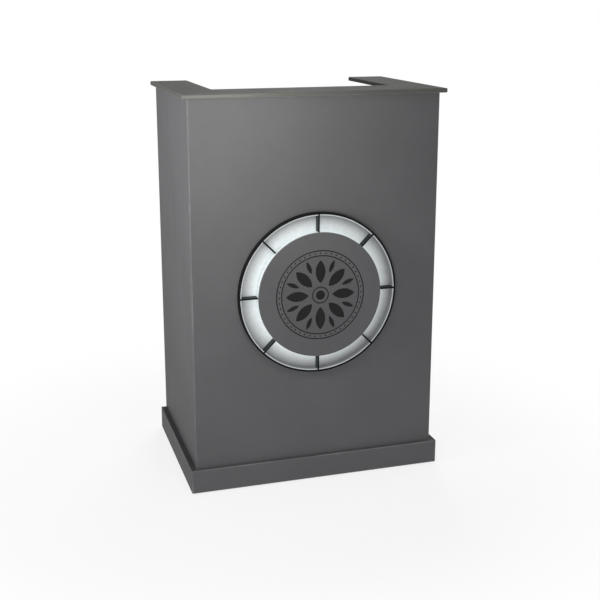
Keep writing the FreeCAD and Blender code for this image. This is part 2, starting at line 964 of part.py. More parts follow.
def end_block(size, z, grow, y_low, y_high):
    """A block in the driver's end, its Y measured from the end face."""
    half_x = size[0] / 2 + grow
    half_z = size[1] / 2 + grow
    low = (fitting_x - half_x, driver_back_y + y_low, z - half_z)
    return box(low, (fitting_x + half_x, driver_back_y + y_high, z + half_z))


def driver_board():
    """Circuit board on posts, with its transformer and capacitor."""
    seat_x = driver_x + circuit_post
    top_x = seat_x + circuit_board
    margin = case_wall + lift_gap
    half = driver_width / 2 - margin
    y_low = driver_front_y + circuit_end_gap
    y_high = driver_back_y - inlet_depth - margin
    plate = box((seat_x, y_low, ring_centre_z - half), (top_x, y_high, ring_centre_z + half))
    notch_low = (seat_x - overcut, y_low - overcut, ring_centre_z - circuit_notch / 2)
    notch_high = (top_x + overcut, y_low + circuit_notch, ring_centre_z + circuit_notch / 2)
    plate = plate.cut(box(notch_low, notch_high))
    solids = [plate]
    inset = 2 * circuit_post_radius
    for y in (y_low + inset, y_high - inset):
        for z in (ring_centre_z - half + inset, ring_centre_z + half - inset):
            solids.append(rod(circuit_post_radius, (driver_x, y, z), (seat_x, y, z)))
    middle_y = (y_low + y_high) / 2
    rise, length, width = transformer_size
    low = (top_x, middle_y - length / 2, ring_centre_z - width / 2)
    block = box(low, (top_x + rise, middle_y + length / 2, ring_centre_z + width / 2))
    solids.append(rounded(block))
    can_y = middle_y + length / 2 + 2 * capacitor_radius
    can_start = (top_x, can_y, ring_centre_z)
    solids.append(rod(capacitor_radius, can_start, (top_x + capacitor_height, can_y, ring_centre_z)))
    return Part.makeCompound(solids)


def switch_body():
    """Switch frame with a well for the rocker."""
    rim = rounded(end_block(switch_size, switch_z, switch_rim, 0, switch_rim_thick), small_round)
    body = rim.fuse(end_block(switch_size, switch_z, 0, -switch_depth, 0))
    well = end_block(switch_well, switch_z, 0, -switch_well_depth, switch_rim_thick + overcut)
    pin = rocker_pin(rocker_pin_radius + running_gap, switch_size[1])
    return body.cut([well, pin])


def rocker_pin(radius, length):
    low = (fitting_x, rocker_pivot_y, switch_z - length / 2)
    return rod(radius, low, (fitting_x, rocker_pivot_y, switch_z + length / 2))


def switch_rocker():
    """Rocker on its pivot pin, at rest tipped to the on side."""
    outline = [
        (-rocker_half_length, rocker_tip),
        (0, rocker_waist),
        (rocker_half_length, rocker_tip),
        (rocker_half_length - rocker_taper, -rocker_keel / 2),
        (0, -rocker_keel),
        (rocker_taper - rocker_half_length, -rocker_keel / 2),
    ]
    low_z = switch_z - rocker_half_width
    points = [(fitting_x + x, rocker_pivot_y + y, low_z) for x, y in outline]
    paddle = rounded(prism(points, UP * (2 * rocker_half_width)), small_round)
    rocker = paddle.fuse(rocker_pin(rocker_pin_radius, switch_size[1] - 2 * lift_gap))
    rocker.rotate(V(fitting_x, rocker_pivot_y, switch_z), UP, rocker_tilt)
    return rocker


def power_inlet():
    """Two-pin power socket with a double-round recess."""
    flange = rounded(end_block(inlet_size, inlet_z, switch_rim, 0, switch_rim_thick), small_round)
    body = flange.fuse(end_block(inlet_size, inlet_z, 0, -inlet_depth, 0))
    mouth_y = driver_back_y + switch_rim_thick
    floor = mouth_y - inlet_recess
    recess = []
    pins = []
    for side in (-1, 1):
        x = fitting_x + side * inlet_lobe_offset
        foot = (x, floor, inlet_z)
        recess.append(rod(inlet_lobe_radius, foot, (x, mouth_y + overcut, inlet_z)))
        pins.append(rod(inlet_pin_radius, foot, (x, floor + inlet_pin_length, inlet_z)))
    return body.cut(recess).fuse(pins).removeSplitter()


def junction_box():
    """Cover over the joint of the lead and the strip's tail."""
    half = junction_size / 2
    low = (-half, plug_back_y, ring_centre_z - half)
    cover = rounded(box(low, (half, plug_back_y + junction_depth, ring_centre_z + half)))
    inside = half - case_wall
    hollow_high = (inside, plug_back_y + junction_depth - case_wall, ring_centre_z + inside)
    hollow = box((-inside, plug_back_y - overcut, ring_centre_z - inside), hollow_high)
    lead_start = (-half - overcut, lead_y, ring_centre_z)
    lead_hole = rod(lead_radius + lift_gap, lead_start, (0, lead_y, ring_centre_z))
    return cover.cut([hollow, lead_hole])


def terminal_block():
    width, depth, rise = terminal_size
    low = (-width / 2, plug_back_y, ring_centre_z - rise / 2)
    return rounded(box(low, (width / 2, plug_back_y + depth, ring_centre_z + rise / 2)))


def led_lead():
    """Lead from the driver along the side panel and the plug to the junction box."""
    return tube(
        [
            (lead_x, driver_front_y + lead_entry, ring_centre_z),
            (lead_x, lead_y, ring_centre_z),
            (-terminal_size[0] / 2, lead_y, ring_centre_z),
        ],
        lead_radius,
        lead_bend,
    )


def led_tail():
    """Tail from the terminal block through the plug and the hub core to the strip."""
    return tube(
        [
            (0, plug_back_y, ring_centre_z),
            (0, hub_mid_y, ring_centre_z),
            (0, hub_mid_y, ring_centre_z - core_radius),
        ],
        tail_radius,
        tail_bend,
    )


def lead_clips():
    """Saddle clips along the lead, on the side panel and on the plug."""
    half = clip_length / 2
    reach = lead_radius + clip_wall
    bore = rod(lead_radius + hole_gap, (lead_rise, -half, 0), (lead_rise, half, 0))
    side_clip = rounded(box((0, -half, -reach), (lead_rise + reach, half, reach))).cut(bore)
    run_end = lead_y + lead_bend
    solids = []
    for y in spread(run_end, driver_front_y, 2, clip_end_gap):
        solids.append(placed(side_clip, V(-inner_x, y, ring_centre_z), V(1, 0, 0), UP))
    for x in spread(-plug_radius, -junction_size / 2, 2, clip_end_gap):
        solids.append(placed(side_clip, V(x, plug_back_y, ring_centre_z), BACK, UP))
    return Part.makeCompound(solids)


# Drawer

def drawer_front():
    x = inner_x - drawer_face_gap
    low = (-x, drawer_inner_y, drawer_face_low)
    face = rounded(box(low, (x, drawer_face_y, drawer_face_top)))
    lock_start = (0, drawer_inner_y - overcut, lock_z)
    lock_hole = rod(lock_body_radius + hole_gap, lock_start, (0, drawer_face_y + overcut, lock_z))
    return drilled(face.cut([lock_hole, drawer_bottom_block(lift_gap)]))


def drawer_bottom_block(grow):
    """The drawer bottom, grown by the gap of the grooves that hold it."""
    x = drawer_x - board + drawer_groove + grow - lift_gap
    groove_end = drawer_inner_y + drawer_groove + grow - lift_gap
    low = (-x, drawer_rear_y - grow, drawer_bottom_z)
    return box(low, (x, groove_end, drawer_bottom_z + drawer_bottom_sheet))


def drawer_side(side):
    low_x, high_x = sorted((side * drawer_x, side * (drawer_x - board)))
    plank = box((low_x, drawer_rear_y, drawer_low), (high_x, drawer_inner_y, drawer_top))
    return drilled(rounded(plank).cut(drawer_bottom_block(lift_gap)))


def drawer_back():
    x = drawer_x - board
    low = (-x, drawer_rear_y, drawer_bottom_z + drawer_bottom_sheet)
    return drilled(rounded(box(low, (x, drawer_rear_y + board, drawer_top))))


def drawer_bottom():
    return drawer_bottom_block(0.0)


def drawer_handle():
    """Round bar handle on two posts."""
    z = drawer_face_top - handle_drop
    bar_y = drawer_face_y + handle_reach
    half = handle_centres / 2
    end = half + handle_overrun
    bar = rounded(rod(handle_bar_radius, (-end, bar_y, z), (end, bar_y, z)))
    posts = [rod(handle_post_radius, (x, drawer_face_y, z), (x, bar_y, z)) for x in (-half, half)]
    return drilled(bar.fuse(posts).removeSplitter())


def lock_barrel():
    """Lock housing through the drawer face, with its collar."""
    body = rod(lock_body_radius, (0, lock_end_y, lock_z), (0, drawer_face_y, lock_z))
    collar_end = (0, drawer_face_y + lock_flange, lock_z)
    collar = rod(lock_flange_radius, (0, drawer_face_y, lock_z), collar_end)
    crown = [edge for edge in collar.Edges if edge.BoundBox.YMin > drawer_face_y + lock_flange / 2]
    collar = collar.makeFillet(edge_round, crown)
    bore_start = (0, lock_end_y - overcut, lock_z)
    bore = rod(lock_plug_radius, bore_start, (0, drawer_face_y + lock_flange + overcut, lock_z))
    return body.fuse(collar).removeSplitter().cut(bore)


def lock_nut():
    """Ring nut that holds the lock against the drawer face."""
    start = (0, drawer_inner_y - lock_nut_thick, lock_z)
    end = (0, drawer_inner_y, lock_z)
    nut = rod(lock_nut_radius, start, end)
    return rounded(nut).cut(rod(lock_body_radius + hole_gap, start, end))


def lock_plug():
    """Turning plug with its keyway."""
    radius = lock_plug_radius - running_gap
    tip_y = lock_end_y - lift_gap - cam_arm_sheet
    face = drawer_face_y + lock_flange
    plug = rod(radius, (0, lock_end_y - lift_gap, lock_z), (0, face, lock_z))
    tip_radius = lock_tip_radius - running_gap
    plug = plug.fuse(rod(tip_radius, (0, tip_y, lock_z), (0, lock_end_y, lock_z)))
    width, length, depth = keyway
    slot_low = (-width / 2, face - depth, lock_z - length / 2)
    slot = box(slot_low, (width / 2, face + overcut, lock_z + length / 2))
    return plug.removeSplitter().cut(slot)


def lock_cam():
    """Locking arm on the plug's end, at rest lying level and clear of the strike."""
    high_y = lock_end_y - lift_gap
    low_y = high_y - cam_arm_sheet
    half = cam_arm_width / 2
    tip = cam_arm_length - half
    arm = box((0, low_y, lock_z - half), (tip, high_y, lock_z + half))
    arm = arm.fuse([
        rod(half, (0, low_y, lock_z), (0, high_y, lock_z)),
        rod(half, (tip, low_y, lock_z), (tip, high_y, lock_z)),
    ]).removeSplitter()
    return arm.cut(rod(lock_tip_radius, (0, low_y, lock_z), (0, high_y, lock_z)))


def strike_y():
    """Back face of the strike's hanging leaf, just in front of the lock's arm."""
    return lock_end_y + strike_gap + strike_sheet


def lock_strike():
    """Steel angle under the worktop that the lock's arm turns up behind."""
    half = strike_length / 2
    y_high = strike_y()
    y_low = y_high - strike_sheet
    hanging = box((-half, y_low, worktop_under - strike_drop), (half, y_high, worktop_under))
    level_low = (-half, y_high - strike_leaf, worktop_under - strike_sheet)
    level = box(level_low, (half, y_high, worktop_under))
    return drilled(hanging.fuse(level).removeSplitter())


# Roller runners

def cabinet_runners():
    """Fixed rails on the side panels, each with a stub axle near its open end."""
    ys = (runner_front_y, runner_back_y)
    floor_end = runner_space - runner_sheet - runner_side_gap
    flange_end = runner_sheet + runner_top_flange
    solids = []
    for side in (-1, 1):
        web = side_box(side, (0, runner_sheet), ys, (runner_z, runner_z + runner_web))
        floor = side_box(side, (0, floor_end), ys, (runner_z, runner_z + runner_sheet))
        lip_zs = (runner_z, runner_z + runner_sheet + runner_lip)
        lip = side_box(side, (floor_end - runner_sheet, floor_end), ys, lip_zs)
        flange = side_box(side, (0, flange_end), ys, (track_z, track_z + runner_sheet))
        axle = roller_axle(side, 0, roller_offset + roller_width + lift_gap, cabinet_roller_y)
        rail = web.fuse([floor, lip, flange] + axle).removeSplitter()
        solids.append(drilled(rail))
    return Part.makeCompound(solids)


def drawer_runners():
    """Moving rails on the drawer sides, each with a stub axle at its inner end."""
    ys = (drawer_rear_y, runner_back_y)
    web_start = runner_space - runner_sheet
    track_start = runner_sheet + runner_top_flange + runner_track_gap
    solids = []
    for side in (-1, 1):
        zs = (track_z - runner_skirt, track_z + runner_upstand)
        web = side_box(side, (web_start, runner_space), ys, zs)
        track_zs = (track_z, track_z + runner_sheet)
        track = side_box(side, (track_start, runner_space), ys, track_zs)
        axle = roller_axle(side, runner_space, roller_offset - lift_gap, drawer_roller_y)
        rail = web.fuse([track] + axle).removeSplitter()
        solids.append(drilled(rail))
    return Part.makeCompound(solids)


def roller_axle(side, root, tip, y):
    """Stub axle from a rail's web to a flat head past the roller, depths from the side panel."""
    step = roller_head if tip > root else -roller_head
    start = (side * (inner_x - root), y, roller_z)
    neck = (side * (inner_x - tip), y, roller_z)
    end = (side * (inner_x - tip - step), y, roller_z)
    return [rod(roller_pin_radius, start, neck), rod(roller_head_radius, neck, end)]


def rollers(y):
    """A pair of nylon rollers on one axis, one at each side."""
    solids = []
    for side in (-1, 1):
        start = (side * (inner_x - roller_offset), y, roller_z)
        end = (side * (inner_x - roller_offset - roller_width), y, roller_z)
        wheel = rounded(rod(roller_radius, start, end))
        solids.append(wheel.cut(rod(roller_pin_radius + running_gap, start, end)))
    return Part.makeCompound(solids)


# Cable grommet

def cable_grommet():
    """Sleeve in the worktop with a flush flange on top and a ledge for the cap."""
    top = grommet_seat_z
    sleeve = grommet_ring(grommet_radius, grommet_radius - grommet_wall, top - grommet_length, top)
    flange_top = top + grommet_flange_thick
    flange_radius = grommet_radius + grommet_flange
    flange = grommet_ring(flange_radius, grommet_radius - grommet_wall, top, flange_top)
    rim = [edge for edge in flange.Edges if edge.BoundBox.ZMin > flange_top - grommet_flange_thick / 2]
    flange = flange.makeFillet(edge_round, rim)
    ledge_inner = grommet_radius - grommet_wall - grommet_ledge
    ledge_low = top - grommet_ledge_drop
    ledge_high = cap_low_z() - hole_gap
    ledge = grommet_ring(grommet_radius - grommet_wall, ledge_inner, ledge_low, ledge_high)
    return sleeve.fuse([flange, ledge]).removeSplitter()


def grommet_ring(outer, inner, low, high):
    start = (grommet_x, grommet_y, low)
    end = (grommet_x, grommet_y, high)
    return rod(outer, start, end).cut(rod(inner, start, end))


def cap_low_z():
    return worktop_height - grommet_cap_thick


def grommet_cap():
    """Turning cap with a slot for cables."""
    radius = grommet_radius - grommet_wall - lift_gap
    start = (grommet_x, grommet_y, cap_low_z())
    cap_top = cap_low_z() + grommet_cap_thick
    cap = rounded(rod(radius, start, (grommet_x, grommet_y, cap_top)))
    width, length = grommet_slot
    low = (grommet_x - width / 2, grommet_y + radius - length, cap_low_z() - overcut)
    slot = box(low, (grommet_x + width / 2, grommet_y + radius + overcut, cap_top + overcut))
    return cap.cut(slot)


# Every piece by name

SCREW_SETS = screw_sets()
CAM_JOINTS = cam_joints()
DOWEL_JOINTS = dowel_joints()
HOLES = screw_holes() + cam_holes() + dowel_holes() + shelf_pin_holes()


def pieces():
    yield "counter_top", counter_top()
    yield "front_panel", front_panel()
    yield "left_side_panel", side_panel(-1)
    yield "right_side_panel", side_panel(1)
    yield "bottom_panel", bottom_panel()
    yield "worktop", worktop()
    yield "shelf", shelf()
    yield "shelf_pins", shelf_pins()
    yield "rear_kick_board", rear_kick_board()
    yield "plinth_front", plinth_front()
    yield "plinth_left", plinth_side(-1)
    yield "plinth_right", plinth_side(1)
    yield "floor_glides", floor_glides()
    yield "counter_brackets", counter_brackets()
    yield "cam_locks", cam_locks()
    yield "cam_bolts", cam_bolts()
    yield "ring_hoop", ring_hoop()
    yield "ring_spokes", ring_spokes()
    yield "reflector_pan", reflector_pan()
    yield "backing_plug", backing_plug()
    yield "hub_core", hub_core()
    yield "led_strip", led_strip()
    yield "opal_ring", opal_ring()
    yield "emblem_disc", emblem_disc()
    yield "emblem_inlay", emblem_inlay()
    yield "driver_base", driver_base()
    yield "driver_case", driver_case()
    yield "driver_board", driver_board()
    yield "switch_body", switch_body()
    yield "switch_rocker", switch_rocker()
    yield "power_inlet", power_inlet()
    yield "junction_box", junction_box()
    yield "terminal_block", terminal_block()
    yield "led_lead", led_lead()
    yield "led_tail", led_tail()
    yield "lead_clips", lead_clips()
    yield "drawer_front", drawer_front()
    yield "drawer_left_side", drawer_side(-1)
    yield "drawer_right_side", drawer_side(1)
    yield "drawer_back", drawer_back()
    yield "drawer_bottom", drawer_bottom()
    yield "drawer_dowels", drawer_dowels()
    yield "drawer_handle", drawer_handle()
    yield "lock_barrel", lock_barrel()
    yield "lock_nut", lock_nut()
    yield "lock_plug", lock_plug()
    yield "lock_cam", lock_cam()
    yield "lock_strike", lock_strike()
    yield "cabinet_runners", cabinet_runners()
    yield "drawer_runners", drawer_runners()
    yield "cabinet_rollers", rollers(cabinet_roller_y)
    yield "drawer_rollers", rollers(drawer_roller_y)
    yield "cable_grommet", cable_grommet()
    yield "grommet_cap", grommet_cap()
    for name in SCREW_SETS:
        yield name, screws(name)


os.makedirs("parts", exist_ok=True)
for name, shape in pieces():
    shape.exportStep("parts/" + name + ".step")
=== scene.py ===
"""Looks and studio for a lacquered reception desk with a lit ring on its front."""
import math

import bmesh
import bpy
from bpy.props import FloatProperty, FloatVectorProperty, IntProperty, PointerProperty
from bpy.types import Operator, Panel, PropertyGroup
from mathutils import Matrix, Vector


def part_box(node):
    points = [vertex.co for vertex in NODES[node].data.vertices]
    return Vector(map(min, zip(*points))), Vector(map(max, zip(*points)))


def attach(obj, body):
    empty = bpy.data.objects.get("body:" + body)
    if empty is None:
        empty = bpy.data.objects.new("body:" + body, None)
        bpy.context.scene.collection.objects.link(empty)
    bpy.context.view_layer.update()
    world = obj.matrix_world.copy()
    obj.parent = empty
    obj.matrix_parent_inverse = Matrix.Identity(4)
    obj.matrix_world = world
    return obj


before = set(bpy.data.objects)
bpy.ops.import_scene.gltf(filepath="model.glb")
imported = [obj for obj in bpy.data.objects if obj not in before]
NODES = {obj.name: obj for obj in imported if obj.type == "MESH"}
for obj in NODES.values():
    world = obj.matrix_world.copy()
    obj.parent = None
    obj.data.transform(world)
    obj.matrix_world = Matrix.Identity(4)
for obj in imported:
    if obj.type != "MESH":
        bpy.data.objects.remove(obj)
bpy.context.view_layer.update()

bl_info = {
    "name": "Reception Desk Looks",
    "version": (1, 0, 0),
    "blender": (4, 5, 0),
    "location": "View3D > Sidebar > Desk",
    "description": "Finishes, small details and the studio of a reception desk",
    "category": "Object",
}

RING_CENTRE = (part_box("ring_hoop")[0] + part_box("ring_hoop")[1]) / 2
BLACK = (0.0, 0.0, 0.0)
WHITE = (1.0, 1.0, 1.0)


# Settings

def colour(name, description, default):
    return FloatVectorProperty(name=name, description=description, default=default,
                               subtype="COLOR", size=3, min=0.0, max=1.0)


def spot(name, description, default):
    return FloatVectorProperty(name=name, description=description, default=default,
                               subtype="XYZ", unit="LENGTH", size=3)


def length(name, description, default):
    return FloatProperty(name=name, description=description, default=default, unit="LENGTH", min=0.0)


def share(name, description, default):
    return FloatProperty(name=name, description=description, default=default,
                         subtype="FACTOR", min=0.0, max=1.0)


def power(name, description, default):
    return FloatProperty(name=name, description=description, default=default, unit="POWER", min=0.0)


def angle(name, description, degrees):
    return FloatProperty(name=name, description=description, default=math.radians(degrees), subtype="ANGLE")


class PaintSettings(PropertyGroup):
    """Lacquer of the boards"""
    panel: colour("Panels", "Lacquer of the front, the sides and the plinth", (0.092, 0.092, 0.095))
    counter: colour("Counter", "Lacquer of the counter", (0.0755, 0.077, 0.0695))
    # Lighter edge tone: partly worn paint, partly a painted highlight where light catches the rounded edges
    rubbed: colour("Rubbed edge", "Lacquer where an edge is worn thin", (0.24, 0.24, 0.24))
    inside: colour("Inside", "Matt lacquer of the drawer box", (0.13, 0.13, 0.135))
    fibre: colour("Fibreboard", "Bare board of the core inside the hub", (0.42, 0.31, 0.21))
    gloss_low: share("Smoothest", "Roughness where the lacquer is smoothest", 0.48)
    gloss_high: share("Roughest", "Roughness where the lacquer is roughest", 0.52)
    panel_shine: share("Panel shine", "Mirror share of the panels' lacquer", 0.025)
    counter_shine: share("Counter shine", "Mirror share of the counter's lacquer", 0.018)
    edge_polish: share("Edge polish", "Clear coat on the counter's front edge", 0.22)
    wear_and_highlight_width: length("Rub width", "How far edge wear reaches onto a face", 0.0028)
    peel: length("Orange peel", "Height of the spray's ripple", 0.00006)


class RingSettings(PropertyGroup):
    """Lit ring"""
    enamel: colour("Hoop", "Satin enamel of the hoop and the fins", (0.006, 0.006, 0.0065))
    # Painted light: the fins' sides take this lighter tone as if lit by the hub
    fin_side_painted_light: colour("Fin sides", "Thinner enamel on the sides of the fins", (0.03, 0.037, 0.038))
    pan: colour("Dish", "Frosted metal of the dish", (0.335, 0.35, 0.355))
    pan_lip: colour("Dish lip", "Polished lip of the dish", (0.40, 0.42, 0.425))
    # Painted glow on the dish, standing in for the hub's light falling on it
    dish_glow: share("Spill", "Light that the frosted dish carries next to the hub", 0.55)
    glow: colour("Glow", "Light of the opal wall", (0.89, 0.985, 1.0))
    glow_strength: FloatProperty(name="Glow strength", description="Brightness of the opal wall",
                                 default=0.42, min=0.0)
    inlay: colour("Inlay", "Dark rosette in the disc", (0.009, 0.009, 0.0095))
    hairline_pitch: length("Hairline pitch", "Spacing of the fine lines behind the rosette", 0.0052)
    chips: IntProperty(name="Chips", description="Light chips behind the opal wall", default=60, min=1)


class FittingSettings(PropertyGroup):
    """Metal, plastic and electric fittings"""
    zinc: colour("Zinc", "Plated steel of screws, cams and brackets", (0.56, 0.57, 0.58))
    chrome: colour("Chrome", "Satin chrome of the handle and the lock", (0.50, 0.51, 0.52))
    brass: colour("Plug", "Nickelled brass of the lock's plug", (0.60, 0.50, 0.30))
    runner: colour("Runners", "Cream epoxy of the drawer runners", (0.72, 0.72, 0.69))
    nylon: colour("Nylon", "Rollers and floor glides", (0.78, 0.78, 0.75))
    plastic: colour("Plastic", "Black moulded plastic", (0.032, 0.032, 0.034))
    case: colour("Driver case", "Sheet metal of the light's driver", (0.55, 0.56, 0.57))
    board: colour("Circuit", "Solder mask of the driver's circuit", (0.03, 0.20, 0.09))
    sheath: colour("Sheath", "Sheath of the leads", (0.02, 0.02, 0.022))
    beech: colour("Beech", "Dowels of the drawer", (0.62, 0.43, 0.26))
    chip: colour("Light chips", "Pale yellow face of the light chips", (0.88, 0.86, 0.72))
    mark: colour("Marks", "White marks on the switch", (0.80, 0.80, 0.78))


class StageSettings(PropertyGroup):
    """Camera, lamps and floor"""
    camera_place: spot("Camera", "Where the camera stands", (-0.85236, -2.8613, 1.32429))
    camera_yaw: angle("Yaw", "Camera's turn towards the right", 16.952)
    camera_pitch: angle("Pitch", "Camera's tilt downwards", 14.072)
    lens: FloatProperty(name="Lens", description="Focal length", unit="CAMERA", default=62.478)
    shift: FloatProperty(name="Shift", description="Upward shift of the frame", default=-0.06)
    key_place: spot("Key lamp", "Where the key lamp stands", (-0.21, -0.72, 1.10))
    key_target: spot("Key target", "What the key lamp points at", (-0.42, -0.23, 1.05))
    key_size: length("Key size", "Width of the key lamp", 0.3)
    key_power: power("Key power", "Power of the key lamp", 3.3)
    key_colour: colour("Key colour", "Colour of the key lamp", (1.0, 0.985, 0.955))
    back_place: spot("Back lamp", "Where the staff-side lamp stands", (0.65, 2.4, 0.60))
    back_target: spot("Back target", "What the staff-side lamp points at", (0.0, 0.1, 0.5))
    back_size: length("Back width", "Width of the staff-side lamp", 1.9)
    back_height: length("Back height", "Height of the staff-side lamp", 0.9)
    back_power: power("Back power", "Power of the staff-side lamp", 32.0)
    left_place: spot("Left lamp", "Where the left lamp stands", (-1.35, -0.50, 0.93))
    left_target: spot("Left target", "What the left lamp points at", (-0.35, -0.10, 1.50))
    left_size: length("Left size", "Width of the left lamp", 0.3)
    left_power: power("Left power", "Power of the left lamp", 15.0)
    right_place: spot("Right lamp", "Where the right lamp stands", (1.9, 0.20, 0.55))
    right_target: spot("Right target", "What the right lamp points at", (0.35, 0.05, 0.60))
    right_size: length("Right size", "Width of the right lamp", 0.9)
    right_power: power("Right power", "Power of the right lamp", 9.0)
    front_place: spot("Front lamp", "Where the broad front lamp stands", (-0.45, -1.9, 0.35))
    front_target: spot("Front target", "What the front lamp points at", (-0.15, -0.25, 0.15))
    front_size: length("Front width", "Width of the front lamp", 1.2)
    front_height: length("Front height", "Height of the front lamp", 0.6)
    front_power: power("Front power", "Power of the front lamp", 12.3)
    top_place: spot("Top lamp", "Where the lamp over the staff side hangs", (0.42, 1.45, 2.3))
    top_target: spot("Top target", "What the top lamp points at", (0.0, 0.1, 0.9))
    top_size: length("Top size", "Width of the top lamp", 0.9)
    top_power: power("Top power", "Power of the top lamp", 14.0)
    ambient: colour("Ambient", "Light from all round", (0.43, 0.435, 0.445))
    background: colour("Background", "Studio white", WHITE)
    floor: colour("Floor", "Pale floor", (0.88, 0.88, 0.88))
    floor_size: length("Floor size", "Radius of the floor", 14.0)
    shadow_reach: length("Shadow reach", "How far from the desk the floor shows its shadow", 1.3)
    shadow_depth: share("Shadow depth", "How much of the floor's shadow shows", 0.22)


# Node tools

# Sockets of a Mix node that mixes colours
MIX_FACTOR = 0
MIX_FIRST = 6
MIX_SECOND = 7
MIX_RESULT = 2

# Most values of a noise lie in this span
NOISE_SPAN = (0.3, 0.7)

# A surface counts as level from the first to the second of these upward parts of its normal
LEVEL_SPAN = (0.6, 0.95)


def feed(tree, node, inputs):
    """Links a node's inputs from sockets, or sets constants on them."""
    for key, value in inputs.items():
        socket = node.inputs[key]
        if isinstance(value, bpy.types.NodeSocket):
            tree.links.new(value, socket)
        elif socket.type == "RGBA" and len(value) == 3:
            socket.default_value = (*value, 1.0)
        else:
            socket.default_value = value


def put(tree, kind, inputs=None, **settings):
    """A new shader node with its settings and its inputs."""
    node = tree.nodes.new("ShaderNode" + kind)
    for name, value in settings.items():
        setattr(node, name, value)
    feed(tree, node, inputs or {})
    return node


def calc(tree, operation, *values):
    return put(tree, "Math", dict(enumerate(values)), operation=operation).outputs[0]


def vector_calc(tree, operation, *values):
    return put(tree, "VectorMath", dict(enumerate(values)), operation=operation).outputs[0]


def inverse(tree, value):
    return calc(tree, "SUBTRACT", 1.0, value)


def weighted(tree, *terms):
    """The sum of values that each have a weight."""
    total = None
    for value, weight in terms:
        part = calc(tree, "MULTIPLY", value, weight)
        total = part if total is None else calc(tree, "ADD", total, part)
    return total


def remap(tree, value, source, target=(0.0, 1.0), kind="SMOOTHSTEP"):
    """A value carried over from one span to another."""
    inputs = {"Value": value, "From Min": source[0], "From Max": source[1], "To Min": target[0],
              "To Max": target[1]}
    return put(tree, "MapRange", inputs, interpolation_type=kind).outputs[0]


def tint(tree, factor, first, second, mode="MIX"):
    """A colour between two others."""
    inputs = {MIX_FACTOR: factor, MIX_FIRST: first, MIX_SECOND: second}
    return put(tree, "Mix", inputs, data_type="RGBA", blend_type=mode).outputs[MIX_RESULT]


def noise(tree, place, scale=1.0, detail=2.0, rough=0.5, twist=0.0):
    inputs = {"Vector": place, "Scale": scale, "Detail": detail, "Roughness": rough, "Distortion": twist}
    return put(tree, "TexNoise", inputs).outputs["Fac"]


def object_place(tree):
    return put(tree, "TexCoord").outputs["Object"]


def stretched(tree, place, scale):
    return vector_calc(tree, "MULTIPLY", place, scale)


def axes(tree, vector):
    return put(tree, "SeparateXYZ", {0: vector}).outputs


def facing(tree):
    """The three parts of the surface's normal."""
    return axes(tree, put(tree, "NewGeometry").outputs["Normal"])


def facing_either_way(tree):
    """The three parts of the surface's normal without their signs."""
    return axes(tree, vector_calc(tree, "ABSOLUTE", put(tree, "NewGeometry").outputs["Normal"]))


# Node groups

GROUPS = {}


def node_group(name, inputs, outputs):
    """An empty shader node group with named sockets, and its two end nodes' sockets."""
    tree = bpy.data.node_groups.new(name, "ShaderNodeTree")
    for label, kind, value in inputs:
        socket = tree.interface.new_socket(label, in_out="INPUT", socket_type="NodeSocket" + kind)
        socket.default_value = value
    for label in outputs:
        tree.interface.new_socket(label, in_out="OUTPUT", socket_type="NodeSocketFloat")
    GROUPS[name] = tree
    return tree, tree.nodes.new("NodeGroupInput").outputs, tree.nodes.new("NodeGroupOutput")


def use(tree, name, **inputs):
    """A node group's outputs, placed in a material with its own values."""
    node = tree.nodes.new("ShaderNodeGroup")
    node.node_tree = GROUPS[name]
    feed(tree, node, {key.replace("_", " "): value for key, value in inputs.items()})
    return node.outputs


def build_spray_coat():
    """Cloudy tone, wiped patches and the ripple of sprayed lacquer."""
    tree, given, end = node_group("Spray Coat", [("Seed", "Float", 0.0)], ("Tone", "Wipe", "Peel"))
    sideways = calc(tree, "MULTIPLY", given["Seed"], 1.7)
    shift = put(tree, "CombineXYZ", {0: given["Seed"], 1: sideways}).outputs[0]
    place = vector_calc(tree, "ADD", object_place(tree), shift)
    clouds = noise(tree, place, scale=3.2, rough=0.55, twist=0.3)
    flecks = noise(tree, place, scale=46.0, rough=0.6)
    wipes = noise(tree, stretched(tree, place, (9.0, 9.0, 4.0)), detail=4.0, rough=0.6, twist=0.8)
    ripple = noise(tree, place, scale=330.0, detail=1.0, rough=0.4)
    grit = noise(tree, place, scale=1500.0, detail=1.0)
    feed(tree, end, {"Tone": weighted(tree, (clouds, 0.75), (flecks, 0.25)), "Wipe": wipes,
                     "Peel": weighted(tree, (ripple, 1.0), (grit, 0.2))})


def build_edge_wear_and_highlight():
    """Broken mask along the edges of a board, from its lowest and highest corners, for worn paint and a
    painted highlight.
    """
    tree, given, end = node_group("Edge Rub", [
        ("Low", "Vector", (0.0, 0.0, 0.0)), ("High", "Vector", (1.0, 1.0, 1.0)), ("Width", "Float", 0.003),
    ], ("Mask",))
    place = object_place(tree)
    from_low = vector_calc(tree, "SUBTRACT", place, given["Low"])
    from_high = vector_calc(tree, "SUBTRACT", given["High"], place)
    x, y, z = axes(tree, vector_calc(tree, "MINIMUM", from_low, from_high))
    # The middle one of the three distances is the distance to the nearest edge
    lower = calc(tree, "MINIMUM", x, y)
    upper = calc(tree, "MINIMUM", calc(tree, "MAXIMUM", x, y), z)
    edge_distance = calc(tree, "MAXIMUM", lower, upper)
    ragged = remap(tree, noise(tree, place, scale=22.0, detail=4.0, rough=0.65), NOISE_SPAN, (0.7, 1.3))
    reach = calc(tree, "MULTIPLY", given["Width"], ragged)
    kept = remap(tree, noise(tree, place, scale=7.0, detail=3.0, rough=0.6), (0.35, 0.65), (0.4, 1.0))
    wear = remap(tree, edge_distance, (0.0, reach), (1.0, 0.0))
    feed(tree, end, {"Mask": calc(tree, "MULTIPLY", wear, kept)})


